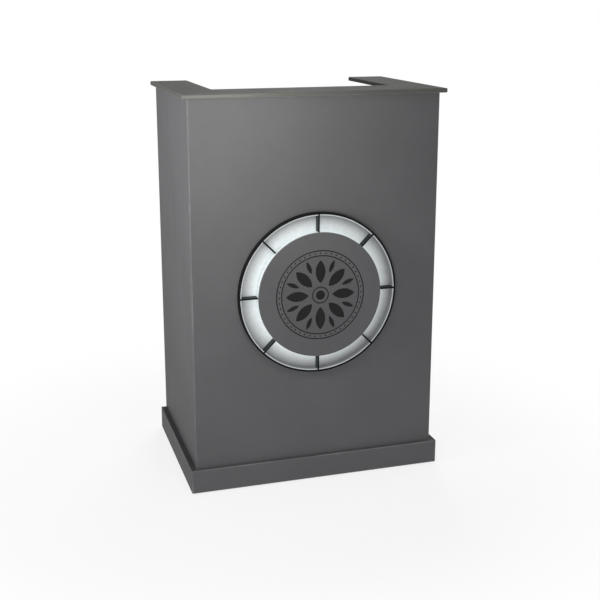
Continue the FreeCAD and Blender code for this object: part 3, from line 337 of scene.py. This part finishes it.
def build_eased_edge():
    """Mask of the rounded edges of a board of any outline, where the surface faces no main axis: wear, and
    in lacquer also a painted highlight.
    """
    tree, given, end = node_group("Eased Edge", [("Break Up", "Float", 0.5)], ("Mask",))
    x, y, z = facing_either_way(tree)
    squarest = calc(tree, "MAXIMUM", calc(tree, "MAXIMUM", x, y), z)
    rounding = remap(tree, squarest, (0.985, 0.80))
    patchy = remap(tree, noise(tree, object_place(tree), scale=18.0, detail=4.0, rough=0.65), (0.3, 0.65))
    missing = calc(tree, "MULTIPLY", given["Break Up"], inverse(tree, patchy))
    feed(tree, end, {"Mask": calc(tree, "MULTIPLY", rounding, inverse(tree, missing))})


def build_brushed_grain():
    """Fine lines left by brushing, long in one direction."""
    tree, given, end = node_group("Brushed Grain", [("Stretch", "Vector", (1.0, 1.0, 1.0))],
                                  ("Streak", "Blotch"))
    place = object_place(tree)
    streaks = noise(tree, stretched(tree, place, given["Stretch"]), detail=3.0, rough=0.6)
    feed(tree, end, {"Streak": streaks, "Blotch": noise(tree, place, scale=60.0, detail=3.0, rough=0.6)})


def build_ring_polar():
    """Distance from the ring's axis and turn about it, from -0.5 to 0.5."""
    tree, _, end = node_group("Ring Polar", [], ("Radius", "Turn"))
    x, _, z = axes(tree, vector_calc(tree, "SUBTRACT", object_place(tree), RING_CENTRE))
    square = calc(tree, "ADD", calc(tree, "MULTIPLY", x, x), calc(tree, "MULTIPLY", z, z))
    turn = calc(tree, "DIVIDE", calc(tree, "ARCTAN2", x, z), 2 * math.pi)
    feed(tree, end, {"Radius": calc(tree, "SQRT", square), "Turn": turn})


def build_moulded_grain():
    """Spark texture of moulded plastic and fine powder coat."""
    tree, given, end = node_group("Moulded Grain", [("Scale", "Float", 900.0)], ("Height", "Tone"))
    place = object_place(tree)
    feed(tree, end, {"Height": noise(tree, place, scale=given["Scale"], rough=0.55),
                     "Tone": noise(tree, place, scale=26.0, detail=3.0, rough=0.6)})


def build_settled_dust():
    """A light film of dust on what faces up."""
    tree, _, end = node_group("Settled Dust", [], ("Mask",))
    level = remap(tree, facing(tree)[2], LEVEL_SPAN)
    patchy = noise(tree, object_place(tree), scale=9.0, detail=5.0, rough=0.65, twist=0.4)
    feed(tree, end, {"Mask": calc(tree, "MULTIPLY", level, remap(tree, patchy, (0.42, 0.75)))})


def build_groups():
    for build in (build_spray_coat, build_edge_wear_and_highlight, build_eased_edge, build_brushed_grain, build_ring_polar,
                  build_moulded_grain, build_settled_dust):
        build()


# Finishes

DUST = (0.42, 0.41, 0.39)
# Colour of the painted shade on the plinth's ledges
PAINTED_SHADE_TONE = (0.022, 0.022, 0.023)
BARE_METAL = (0.35, 0.35, 0.36)

# Share of painted shade on the upper faces of the plinth, darkening its ledges as if in shadow
LEDGE_PAINTED_SHADE = {"plinth_left": 0.6, "plinth_right": 0.6, "plinth_front": 0.15}


def new_finish(name):
    """A material, its tree and its surface shader."""
    material = bpy.data.materials.new(name)
    material.use_nodes = True
    tree = material.node_tree
    return material, tree, tree.nodes["Principled BSDF"]


def bump(tree, shader, height, distance, strength=0.5):
    inputs = {"Height": height, "Distance": distance, "Strength": strength}
    feed(tree, shader, {"Normal": put(tree, "Bump", inputs).outputs[0]})


def scaled(rgb, factor):
    return tuple(min(1.0, channel * factor) for channel in rgb)


def shades(tree, factor, base, dark, light):
    """A colour from a darker to a lighter shade of a base colour."""
    return tint(tree, factor, scaled(base, dark), scaled(base, light))


def half_width(node):
    low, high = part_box(node)
    return (high.x - low.x) / 2


CLOUD_SPAN = (0.32, 0.68)
HAIRLINE_SHADE = 0.45
WORN_SMOOTHER = 0.08
DUST_ROUGHER = 0.12
POLISHED_SPAN = (-0.3, -0.7)
POLISH_ROUGHNESS = 0.3


def lacquer(name, base, paint, node, seed, edge="box", hairlines=None, shine=None, rub_and_highlight=0.7, polish=0.0,
            dusty=0.06, ledge_shade=0.0):
    """Satin sprayed lacquer with cloudy tone, orange peel, lightened edges and dust.

    The lightened edges, partly thinned paint and partly a painted highlight, follow the edges of the node's
    box, or the rounding of its surface. Painted shade darkens what faces up, and polish is a clear coat on
    what faces the front.
    """
    material, tree, shader = new_finish(name)
    coat = use(tree, "Spray Coat", Seed=seed)
    body = shades(tree, remap(tree, coat["Tone"], CLOUD_SPAN), base, 0.955, 1.045)
    if hairlines:
        body = tint(tree, hairlines(tree), body, scaled(base, HAIRLINE_SHADE))
    if edge == "box":
        low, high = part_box(node)
        worn = use(tree, "Edge Rub", Low=low, High=high, Width=paint.wear_and_highlight_width)["Mask"]
    else:
        worn = use(tree, "Eased Edge", Break_Up=0.45)["Mask"]
    # Edges lighten towards the rubbed tone: partly worn paint, partly a painted highlight
    body = tint(tree, calc(tree, "MULTIPLY", worn, rub_and_highlight), body, paint.rubbed)
    dust = use(tree, "Settled Dust")["Mask"]
    body = tint(tree, calc(tree, "MULTIPLY", dust, dusty), body, DUST)
    # Painted shade: faces that look up darken by the given share, as if in shadow
    if ledge_shade:
        body = tint(tree, remap(tree, facing(tree)[2], LEVEL_SPAN, (0.0, ledge_shade)), body, PAINTED_SHADE_TONE)
    wiped = remap(tree, coat["Wipe"], NOISE_SPAN, (paint.gloss_low, paint.gloss_high))
    rough = calc(tree, "SUBTRACT", wiped, calc(tree, "MULTIPLY", worn, WORN_SMOOTHER))
    rough = calc(tree, "ADD", rough, calc(tree, "MULTIPLY", dust, DUST_ROUGHER))
    feed(tree, shader, {"Base Color": body, "Roughness": rough,
                        "Specular IOR Level": shine or paint.panel_shine})
    if polish:
        feed(tree, shader, {"Coat Weight": remap(tree, facing(tree)[1], POLISHED_SPAN, (0.0, polish)),
                            "Coat Roughness": POLISH_ROUGHNESS})
    bump(tree, shader, coat["Peel"], paint.peel)
    return material


def fibreboard(name, base):
    """Bare pressed fibre with darker specks."""
    material, tree, shader = new_finish(name)
    place = object_place(tree)
    fibre = noise(tree, stretched(tree, place, (260.0, 260.0, 420.0)), detail=4.0, rough=0.7)
    cloud = noise(tree, place, scale=24.0, detail=3.0, rough=0.6)
    body = shades(tree, remap(tree, fibre, (0.35, 0.7)), base, 0.72, 1.15)
    body = tint(tree, remap(tree, cloud, (0.35, 0.75), (0.0, 0.3)), body, scaled(base, 0.6))
    feed(tree, shader, {"Base Color": body, "Roughness": remap(tree, fibre, (0.2, 0.8), (0.72, 0.92))})
    bump(tree, shader, fibre, 0.0002, 0.6)
    return material


def turned_wood(name, base):
    """Beech with short dark flecks along the grain."""
    material, tree, shader = new_finish(name)
    place = object_place(tree)
    grain = noise(tree, stretched(tree, place, (90.0, 300.0, 300.0)), detail=4.0, rough=0.6, twist=0.3)
    fleck = noise(tree, stretched(tree, place, (250.0, 1200.0, 1200.0)))
    body = shades(tree, remap(tree, grain, NOISE_SPAN), base, 0.75, 1.1)
    body = tint(tree, remap(tree, fleck, (0.62, 0.75), (0.0, 0.6)), body, scaled(base, 0.4))
    feed(tree, shader, {"Base Color": body, "Roughness": remap(tree, grain, NOISE_SPAN, (0.5, 0.65))})
    bump(tree, shader, grain, 0.0001)
    return material


def enamel(name, base, rough, rubbed, shine, sides=None):
    """Baked enamel: fine grain, faint mottling, and bare metal just showing on rounded edges."""
    material, tree, shader = new_finish(name)
    grain = use(tree, "Moulded Grain", Scale=700.0)
    worn = use(tree, "Eased Edge", Break_Up=0.9)["Mask"]
    body = shades(tree, grain["Tone"], base, 0.8, 1.25)
    # Painted light: faces turned away from the front take the lighter side colour, as if lit
    if sides:
        body = tint(tree, remap(tree, facing_either_way(tree)[1], (0.5, 0.15)), body, sides)
    body = tint(tree, calc(tree, "MULTIPLY", worn, rubbed), body, BARE_METAL)
    mottled = remap(tree, grain["Tone"], NOISE_SPAN, (rough - 0.05, rough + 0.09))
    feed(tree, shader, {"Base Color": body, "Roughness": mottled, "Specular IOR Level": shine})
    bump(tree, shader, grain["Height"], 0.00004)
    return material


TAPE_WHITE = (0.85, 0.85, 0.85)
OPAL_DEEP = (0.36, 0.385, 0.39)
OPAL_PALE = (0.42, 0.445, 0.45)
LIP_DEPTH = 0.002
# Fall-off, floor and far colour of the painted glow on the dish
GLOW_FALL = 1.3
GLOW_FLOOR = 0.09
GLOW_FAR = (0.97, 0.99, 1.0)
# Share of the dish's colour kept at its outer edge: painted shade, darker away from the hub
OUTER_PAINTED_SHADE = 0.42


def round_place(tree, polar, per_metre, per_turn):
    """A texture's place that runs out from the ring's axis and round it."""
    outwards = calc(tree, "MULTIPLY", polar["Radius"], per_metre)
    around = calc(tree, "MULTIPLY", polar["Turn"], per_turn)
    return put(tree, "CombineXYZ", {0: outwards, 1: around}).outputs[0]


def chip_wave(tree, ring):
    """A wave round the ring, one in front of each light chip and minus one between two."""
    turn = use(tree, "Ring Polar")["Turn"]
    return calc(tree, "COSINE", calc(tree, "MULTIPLY", turn, 2 * math.pi * ring.chips))


def dish_metal(name, ring):
    """Frosted dish: fine rings from spinning, faint wipes, a painted shade darkening it outwards, a painted
    glow standing in for the hub's light, and a polished lip.
    """
    material, tree, shader = new_finish(name)
    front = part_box("reflector_pan")[0].y
    band = (half_width("reflector_pan"), half_width("opal_ring"))
    polar = use(tree, "Ring Polar")
    rings = noise(tree, round_place(tree, polar, 900.0, 26.0), detail=3.0, rough=0.6)
    rays = noise(tree, round_place(tree, polar, 40.0, 260.0), detail=3.0, rough=0.6, twist=0.4)
    blotch = noise(tree, object_place(tree), scale=55.0, detail=3.0, rough=0.6)
    mixed = weighted(tree, (rings, 0.4), (rays, 0.35), (blotch, 0.25))
    body = shades(tree, remap(tree, mixed, (0.36, 0.64)), ring.pan, 0.9, 1.07)
    # Painted shade: the dish's colour darkens outwards from the hub, standing in for the light's falloff
    painted_falloff = remap(tree, polar["Radius"], band, (OUTER_PAINTED_SHADE, 1.0))
    body = tint(tree, 1.0, body, painted_falloff, "MULTIPLY")
    depth = axes(tree, object_place(tree))[1]
    lip = remap(tree, depth, (front + LIP_DEPTH, front + LIP_DEPTH / 2))
    # Painted glow: the dish emits light near the hub, fading outwards, in place of the hub's light on it
    fall = calc(tree, "POWER", remap(tree, polar["Radius"], band, kind="LINEAR"), GLOW_FALL)
    glow_share = remap(tree, fall, (0.0, 1.0), (GLOW_FLOOR, 1.0), "LINEAR")
    lit = calc(tree, "MULTIPLY", glow_share, remap(tree, mixed, NOISE_SPAN, (0.9, 1.08)))
    feed(tree, shader, {
        "Base Color": tint(tree, lip, body, ring.pan_lip),
        "Emission Color": tint(tree, lit, BLACK, tint(tree, fall, GLOW_FAR, ring.glow)),
        "Emission Strength": ring.dish_glow,
        "Roughness": remap(tree, mixed, (0.35, 0.65), (0.36, 0.54)),
        "Metallic": 0.1,
        "Specular IOR Level": 0.2,
    })
    bump(tree, shader, rings, 0.00003, 0.6)
    return material


def opal(name, ring):
    """Translucent wall lit from inside, a little brighter in front of each chip."""
    material, tree, shader = new_finish(name)
    cloud = noise(tree, object_place(tree), scale=35.0)
    cloudy = remap(tree, cloud, NOISE_SPAN, (0.86, 1.0))
    bright = weighted(tree, (chip_wave(tree, ring), 0.05), (cloudy, 1.0))
    feed(tree, shader, {
        "Base Color": tint(tree, cloud, OPAL_DEEP, OPAL_PALE),
        "Emission Color": tint(tree, bright, BLACK, ring.glow),
        "Emission Strength": ring.glow_strength,
        "Roughness": remap(tree, cloud, NOISE_SPAN, (0.32, 0.45)),
    })
    return material


def plated(name, base, stretch, rough, dark=0.6):
    """Plated or brushed metal with fine lines and dull patches."""
    material, tree, shader = new_finish(name)
    grain = use(tree, "Brushed Grain", Stretch=stretch)
    body = shades(tree, remap(tree, grain["Blotch"], (0.35, 0.7)), base, dark + 0.3, 1.08)
    body = tint(tree, remap(tree, grain["Streak"], (0.55, 0.75), (0.0, 0.35)), body, scaled(base, dark))
    lined = remap(tree, grain["Streak"], NOISE_SPAN, (rough - 0.07, rough + 0.1))
    feed(tree, shader, {"Base Color": body, "Roughness": lined, "Metallic": 1.0})
    bump(tree, shader, grain["Streak"], 0.00001)
    return material


MOULDED_DUST = 0.10
SOFT_REACH = (0.002, 0.002, 0.002)


def moulded(name, base, rough=0.5, grain_scale=900.0, soft=0.0, shine=0.4):
    """Moulded plastic with a spark texture, faint bloom and dust."""
    material, tree, shader = new_finish(name)
    grain = use(tree, "Moulded Grain", Scale=grain_scale)
    body = shades(tree, remap(tree, grain["Tone"], NOISE_SPAN), base, 0.85, 1.15)
    dust = use(tree, "Settled Dust")["Mask"]
    body = tint(tree, calc(tree, "MULTIPLY", dust, MOULDED_DUST), body, DUST)
    bloom = remap(tree, grain["Tone"], NOISE_SPAN, (rough - 0.06, rough + 0.08))
    feed(tree, shader, {"Base Color": body, "Roughness": bloom, "Specular IOR Level": shine,
                        "Subsurface Weight": soft, "Subsurface Radius": SOFT_REACH})
    bump(tree, shader, grain["Height"], 0.00005)
    return material


# Distances from the back of the circuit, between which its bare face ends and the parts on it begin
BOARD_FACE = 0.0062
BOARD_PARTS = 0.0066
PART_BLACK = (0.05, 0.05, 0.055)


def circuit(name, base):
    """Solder mask over copper tracks, with dark parts standing clear of it."""
    material, tree, shader = new_finish(name)
    place = object_place(tree)
    flat = stretched(tree, place, (0.0, 1.0, 1.0))
    tracks = put(tree, "TexBrick", {"Vector": flat, "Scale": 160.0, "Mortar Size": 0.04}).outputs["Fac"]
    body = shades(tree, calc(tree, "MULTIPLY", tracks, 0.5), base, 0.9, 1.6)
    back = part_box("driver_board")[0].x
    raised = remap(tree, axes(tree, place)[0], (back + BOARD_FACE, back + BOARD_PARTS))
    body = tint(tree, raised, body, PART_BLACK)
    rough = remap(tree, noise(tree, place, scale=200.0), NOISE_SPAN, (0.3, 0.45))
    feed(tree, shader, {"Base Color": body, "Roughness": rough})
    return material


def light_tape(name, chip_face, ring):
    """White tape that glows where the chips sit."""
    material, tree, shader = new_finish(name)
    wave = chip_wave(tree, ring)
    chip = remap(tree, wave, (0.2, 0.6))
    feed(tree, shader, {
        "Base Color": tint(tree, chip, TAPE_WHITE, chip_face),
        "Emission Color": tint(tree, chip, BLACK, ring.glow),
        "Emission Strength": ring.glow_strength,
        "Roughness": remap(tree, wave, (-1.0, 1.0), (0.55, 0.4)),
    })
    return material


HATCH_MARGIN = 0.0142
HATCH_FADE = 0.0006
HATCH_DEPTH = 0.55


def hatch(ring):
    """Fine level lines inside the rosette's outer circles."""
    rim = half_width("emblem_inlay") - HATCH_MARGIN

    def mask(tree):
        height = calc(tree, "SUBTRACT", axes(tree, object_place(tree))[2], RING_CENTRE.z)
        phase = calc(tree, "FRACT", calc(tree, "DIVIDE", height, ring.hairline_pitch))
        from_line = calc(tree, "ABSOLUTE", calc(tree, "SUBTRACT", phase, 0.5))
        line = remap(tree, from_line, (0.06, 0.16), (1.0, 0.0))
        field = remap(tree, use(tree, "Ring Polar")["Radius"], (rim, rim - HATCH_FADE))
        return calc(tree, "MULTIPLY", calc(tree, "MULTIPLY", line, field), HATCH_DEPTH)

    return mask


def dress(material, *names):
    """Gives CAD nodes a finish."""
    for name in names:
        for slot in NODES[name].material_slots:
            slot.material = material


# Operators, one for each piece or group of like pieces

SEED_STEP = 3.1
DISC_SHADE = 0.93

# Stretches of brushed lines: large across the lines and small along them
ALONG_X = (24.0, 2600.0, 2600.0)
LOCK_GRAIN = (700.0, 80.0, 700.0)
ANY_WAY = (300.0, 300.0, 300.0)
ALONG_Y = (4200.0, 26.0, 4200.0)


class DESK_OT_carcass(Operator):
    """Lacquers the boards of the carcass, the plinth and the drawer's front"""
    bl_idname = "desk.carcass"
    bl_label = "Carcass boards"

    def execute(self, context):
        paint = context.scene.desk_paint
        boards = ("front_panel", "left_side_panel", "right_side_panel", "plinth_front", "plinth_left",
                  "plinth_right", "bottom_panel", "worktop", "shelf", "rear_kick_board", "drawer_front")
        for number, name in enumerate(boards):
            coat = lacquer("lacquer_" + name, paint.panel, paint, name, seed=number * SEED_STEP,
                           ledge_shade=LEDGE_PAINTED_SHADE.get(name, 0.0))
            dress(coat, name)
        return {"FINISHED"}


class DESK_OT_counter(Operator):
    """Lacquers the U-shaped counter"""
    bl_idname = "desk.counter"
    bl_label = "Counter"

    def execute(self, context):
        paint = context.scene.desk_paint
        coat = lacquer("lacquer_counter", paint.counter, paint, "counter_top", seed=40.0, edge="eased",
                       shine=paint.counter_shine, rub_and_highlight=0.3, polish=paint.edge_polish, dusty=0.08)
        dress(coat, "counter_top")
        return {"FINISHED"}


class DESK_OT_ring(Operator):
    """Finishes the hoop, the fins, the dish and the lit hub"""
    bl_idname = "desk.ring"
    bl_label = "Lit ring"

    def execute(self, context):
        ring = context.scene.desk_ring
        paint = context.scene.desk_paint
        fittings = context.scene.desk_fittings
        dress(enamel("hoop_enamel", ring.enamel, rough=0.42, rubbed=0.02, shine=0.04), "ring_hoop")
        dress(enamel("fin_enamel", ring.enamel, rough=0.42, rubbed=0.02, shine=0.04, sides=ring.fin_side_painted_light),
              "ring_spokes")
        dress(dish_metal("dish_metal", ring), "reflector_pan")
        dress(opal("opal_wall", ring), "opal_ring")
        dress(light_tape("light_tape", fittings.chip, ring), "led_strip")
        dress(fibreboard("bare_board", paint.fibre), "hub_core")
        return {"FINISHED"}


class DESK_OT_emblem(Operator):
    """Finishes the disc and its inlaid rosette"""
    bl_idname = "desk.emblem"
    bl_label = "Disc and rosette"

    def execute(self, context):
        ring = context.scene.desk_ring
        paint = context.scene.desk_paint
        disc = lacquer("lacquer_disc", scaled(paint.panel, DISC_SHADE), paint, "emblem_disc", seed=52.0,
                       edge="eased", hairlines=hatch(ring))
        dress(disc, "emblem_disc")
        dress(moulded("inlay", ring.inlay, rough=0.55, grain_scale=600.0, shine=0.1), "emblem_inlay")
        return {"FINISHED"}


class DESK_OT_drawer(Operator):
    """Finishes the drawer's box, dowels, handle and lock"""
    bl_idname = "desk.drawer"
    bl_label = "Drawer"

    def execute(self, context):
        paint = context.scene.desk_paint
        fittings = context.scene.desk_fittings
        boards = ("drawer_left_side", "drawer_right_side", "drawer_back", "drawer_bottom")
        for number, name in enumerate(boards):
            dress(lacquer("matt_" + name, paint.inside, paint, name, seed=60.0 + number), name)
        dress(turned_wood("beech", fittings.beech), "drawer_dowels")
        dress(plated("satin_chrome", fittings.chrome, ALONG_X, rough=0.34, dark=0.75),
              "drawer_handle", "lock_barrel")
        dress(plated("nickelled_brass", fittings.brass, LOCK_GRAIN, rough=0.3), "lock_plug")
        return {"FINISHED"}


class DESK_OT_runners(Operator):
    """Finishes the runners, the rollers and the floor glides"""
    bl_idname = "desk.runners"
    bl_label = "Runners and glides"

    def execute(self, context):
        fittings = context.scene.desk_fittings
        dress(enamel("runner_epoxy", fittings.runner, rough=0.42, rubbed=0.5, shine=0.5),
              "cabinet_runners", "drawer_runners")
        dress(moulded("nylon", fittings.nylon, rough=0.42, grain_scale=500.0, soft=0.15),
              "cabinet_rollers", "drawer_rollers", "floor_glides")
        return {"FINISHED"}


class DESK_OT_fasteners(Operator):
    """Finishes the screws, cams, brackets, pins and the lock's plated parts"""
    bl_idname = "desk.fasteners"
    bl_label = "Fasteners"

    def execute(self, context):
        fittings = context.scene.desk_fittings
        dress(plated("zinc", fittings.zinc, ANY_WAY, rough=0.36),
              "cabinet_screws", "plinth_screws", "backing_screws", "hub_screws", "handle_screws",
              "drawer_screws", "cam_locks", "cam_bolts", "counter_brackets", "shelf_pins", "lock_nut",
              "lock_cam", "lock_strike")
        return {"FINISHED"}


class DESK_OT_wiring(Operator):
    """Finishes the driver, the switch, the junction box, the leads, the grommet and the backing plug"""
    bl_idname = "desk.wiring"
    bl_label = "Driver and wiring"

    def execute(self, context):
        paint = context.scene.desk_paint
        fittings = context.scene.desk_fittings
        dress(plated("driver_sheet", fittings.case, ALONG_Y, rough=0.42, dark=0.82),
              "driver_base", "driver_case")
        dress(circuit("circuit_board", fittings.board), "driver_board")
        dress(moulded("black_plastic", fittings.plastic), "switch_body", "switch_rocker", "power_inlet",
              "junction_box", "lead_clips", "cable_grommet", "grommet_cap")
        dress(moulded("terminal_nylon", fittings.nylon, rough=0.45, grain_scale=500.0), "terminal_block")
        dress(moulded("sheath", fittings.sheath, rough=0.55, grain_scale=350.0), "led_lead", "led_tail")
        dress(lacquer("matt_backing_plug", paint.inside, paint, "backing_plug", seed=70.0, edge="eased"),
              "backing_plug")
        return {"FINISHED"}


MARK_SIZE = 0.0026
MARK_LINE = 0.0005
MARK_THICK = 0.00008
MARK_STEPS = 40
MARK_EASE = MARK_THICK * 0.6

# Where a mark stands off the rocker's middle, as a share of its width
MARK_OFFSET = 0.3

# Height above the rocker from which its face is looked for
MARK_CLEAR = 0.01


def mesh_piece(name, material, shape):
    """A new piece from a bmesh."""
    mesh = bpy.data.meshes.new(name)
    shape.to_mesh(mesh)
    shape.free()
    mesh.materials.append(material)
    piece = bpy.data.objects.new(name, mesh)
    bpy.context.scene.collection.objects.link(piece)
    return piece


def bar_mark(name, material):
    """A short upright bar."""
    shape = bmesh.new()
    bmesh.ops.create_cube(shape, size=1.0)
    bmesh.ops.scale(shape, vec=(MARK_LINE, MARK_SIZE, 2 * MARK_THICK), verts=shape.verts)
    bmesh.ops.bevel(shape, geom=shape.edges[:], offset=MARK_EASE, segments=2, affect="EDGES")
    return mesh_piece(name, material, shape)


def ring_mark(name, material):
    """A small ring."""
    shape = bmesh.new()
    outer = MARK_SIZE / 2
    inner = outer - MARK_LINE
    profile = ((outer, -MARK_THICK), (outer, MARK_THICK), (inner, MARK_THICK), (inner, -MARK_THICK))
    loops = []
    for step in range(MARK_STEPS):
        turn = 2 * math.pi * step / MARK_STEPS
        loops.append([shape.verts.new((r * math.cos(turn), r * math.sin(turn), z)) for r, z in profile])
    for step in range(MARK_STEPS):
        here = loops[step]
        there = loops[(step + 1) % MARK_STEPS]
        for corner in range(len(profile)):
            following = (corner + 1) % len(profile)
            shape.faces.new((here[corner], there[corner], there[following], here[following]))
    bmesh.ops.recalc_face_normals(shape, faces=shape.faces)
    return mesh_piece(name, material, shape)


class DESK_OT_switch_marks(Operator):
    """Prints the on and off marks on the rocker"""
    bl_idname = "desk.switch_marks"
    bl_label = "Switch marks"

    def execute(self, context):
        fittings = context.scene.desk_fittings
        material = moulded("mark_ink", fittings.mark, grain_scale=1200.0)
        rocker = NODES["switch_rocker"]
        low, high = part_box("switch_rocker")
        middle = (low + high) / 2
        offset = (high.x - low.x) * MARK_OFFSET
        for name, side, build in (("switch_on_mark", -1, bar_mark), ("switch_off_mark", 1, ring_mark)):
            above = Vector((middle.x + side * offset, high.y + MARK_CLEAR, middle.z))
            hit, point, normal, _ = rocker.ray_cast(above, Vector((0, -1, 0)))
            if not hit:
                raise RuntimeError("the rocker isn't under its mark")
            mark = build(name, material)
            mark.rotation_mode = "QUATERNION"
            mark.rotation_quaternion = normal.to_track_quat("Z", "Y")
            mark.location = point
            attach(mark, "switch_paddle")
        return {"FINISHED"}


# Stage

LAMPS = ("key", "back", "left", "right", "top", "front")
UNMIRRORED_LAMPS = ("back",)
FLOOR_SIDES = 64
FLOOR_ROUGHNESS = 0.8
FULL_SHADOW = 0.45


def area_lamp(stage, name):
    """An oval lamp from the settings of its name, out of the camera's sight."""
    width = getattr(stage, name + "_size")
    place = getattr(stage, name + "_place")
    target = getattr(stage, name + "_target")
    lamp = bpy.data.lights.new(name + "_lamp", "AREA")
    lamp.shape = "ELLIPSE"
    lamp.size = width
    lamp.size_y = getattr(stage, name + "_height", width)
    lamp.energy = getattr(stage, name + "_power")
    lamp.color = getattr(stage, name + "_colour", WHITE)
    item = bpy.data.objects.new(name + "_lamp", lamp)
    item.visible_camera = False
    item.visible_glossy = name not in UNMIRRORED_LAMPS
    item.location = place
    item.rotation_mode = "QUATERNION"
    item.rotation_quaternion = (Vector(target) - Vector(place)).to_track_quat("-Z", "Y")
    bpy.context.scene.collection.objects.link(item)


def seen_directly(tree):
    """One where the eye, a reflection or a view through glass meets the surface."""
    path = put(tree, "LightPath").outputs
    reflected = calc(tree, "MAXIMUM", path["Is Glossy Ray"], path["Is Transmission Ray"])
    return calc(tree, "MAXIMUM", path["Is Camera Ray"], reflected)


def studio_world(stage):
    """Soft light from all round, with a white background."""
    world = bpy.data.worlds.new("studio")
    world.use_nodes = True
    tree = world.node_tree
    tree.nodes.clear()
    ambient = put(tree, "Background", {"Color": stage.ambient, "Strength": 1.0})
    white = put(tree, "Background", {"Color": stage.background, "Strength": 1.0})
    mixed = put(tree, "MixShader", {0: seen_directly(tree), 1: ambient.outputs[0], 2: white.outputs[0]})
    put(tree, "OutputWorld", {"Surface": mixed.outputs[0]})
    return world


def floor_finish(stage):
    """Pale floor that reads as studio white and keeps the desk's shadow near it."""
    material, tree, shader = new_finish("studio_floor")
    place = object_place(tree)
    pale = shades(tree, noise(tree, place, scale=6.0, detail=3.0), stage.floor, 0.97, 1.03)
    feed(tree, shader, {"Base Color": pale, "Roughness": FLOOR_ROUGHNESS})
    glow = put(tree, "Emission", {"Color": stage.background, "Strength": 1.0})
    from_desk = put(tree, "VectorMath", {0: place}, operation="LENGTH").outputs["Value"]
    fade = (stage.shadow_reach * FULL_SHADOW, stage.shadow_reach)
    shadow = remap(tree, from_desk, fade, (stage.shadow_depth, 0.0))
    white = calc(tree, "MULTIPLY", seen_directly(tree), inverse(tree, shadow))
    mixed = put(tree, "MixShader", {0: white, 1: shader.outputs[0], 2: glow.outputs[0]})
    feed(tree, tree.nodes["Material Output"], {"Surface": mixed.outputs[0]})
    return material


class DESK_OT_stage(Operator):
    """Sets up the camera, the lamps, the floor and the background"""
    bl_idname = "desk.stage"
    bl_label = "Stage"

    def execute(self, context):
        scene = context.scene
        stage = scene.desk_stage
        lens = bpy.data.cameras.new("camera")
        lens.lens = stage.lens
        lens.shift_y = stage.shift
        camera = bpy.data.objects.new("camera", lens)
        camera.location = stage.camera_place
        camera.rotation_euler = (math.pi / 2 - stage.camera_pitch, 0.0, -stage.camera_yaw)
        scene.collection.objects.link(camera)
        scene.camera = camera
        for name in LAMPS:
            area_lamp(stage, name)
        scene.world = studio_world(stage)
        shape = bmesh.new()
        bmesh.ops.create_circle(shape, cap_ends=True, segments=FLOOR_SIDES, radius=stage.floor_size)
        mesh_piece("studio_floor", floor_finish(stage), shape)
        scene.view_settings.view_transform = "Standard"
        return {"FINISHED"}


# Panel and registration

OPERATORS = (DESK_OT_carcass, DESK_OT_counter, DESK_OT_ring, DESK_OT_emblem, DESK_OT_drawer,
             DESK_OT_runners, DESK_OT_fasteners, DESK_OT_wiring, DESK_OT_switch_marks, DESK_OT_stage)
SETTINGS = {"desk_paint": PaintSettings, "desk_ring": RingSettings, "desk_fittings": FittingSettings,
            "desk_stage": StageSettings}


class DESK_PT_looks(Panel):
    """Lists the desk's finishes and settings"""
    bl_idname = "DESK_PT_looks"
    bl_label = "Reception desk"
    bl_space_type = "VIEW_3D"
    bl_region_type = "UI"
    bl_category = "Desk"

    def draw(self, context):
        for operator in OPERATORS:
            self.layout.operator(operator.bl_idname)
        for name, settings in SETTINGS.items():
            box = self.layout.box()
            box.label(text=settings.__doc__)
            for key in settings.__annotations__:
                box.prop(getattr(context.scene, name), key)


CLASSES = (*SETTINGS.values(), *OPERATORS, DESK_PT_looks)


def register():
    for cls in CLASSES:
        bpy.utils.register_class(cls)
    for name, settings in SETTINGS.items():
        setattr(bpy.types.Scene, name, PointerProperty(type=settings))


def unregister():
    for name in SETTINGS:
        delattr(bpy.types.Scene, name)
    for cls in reversed(CLASSES):
        bpy.utils.unregister_class(cls)


def main():
    """Builds every finish in order."""
    register()
    build_groups()
    for operator in OPERATORS:
        family, name = operator.bl_idname.split(".")
        getattr(getattr(bpy.ops, family), name)()
    bpy.context.view_layer.update()


if __name__ == "__main__":
    main()
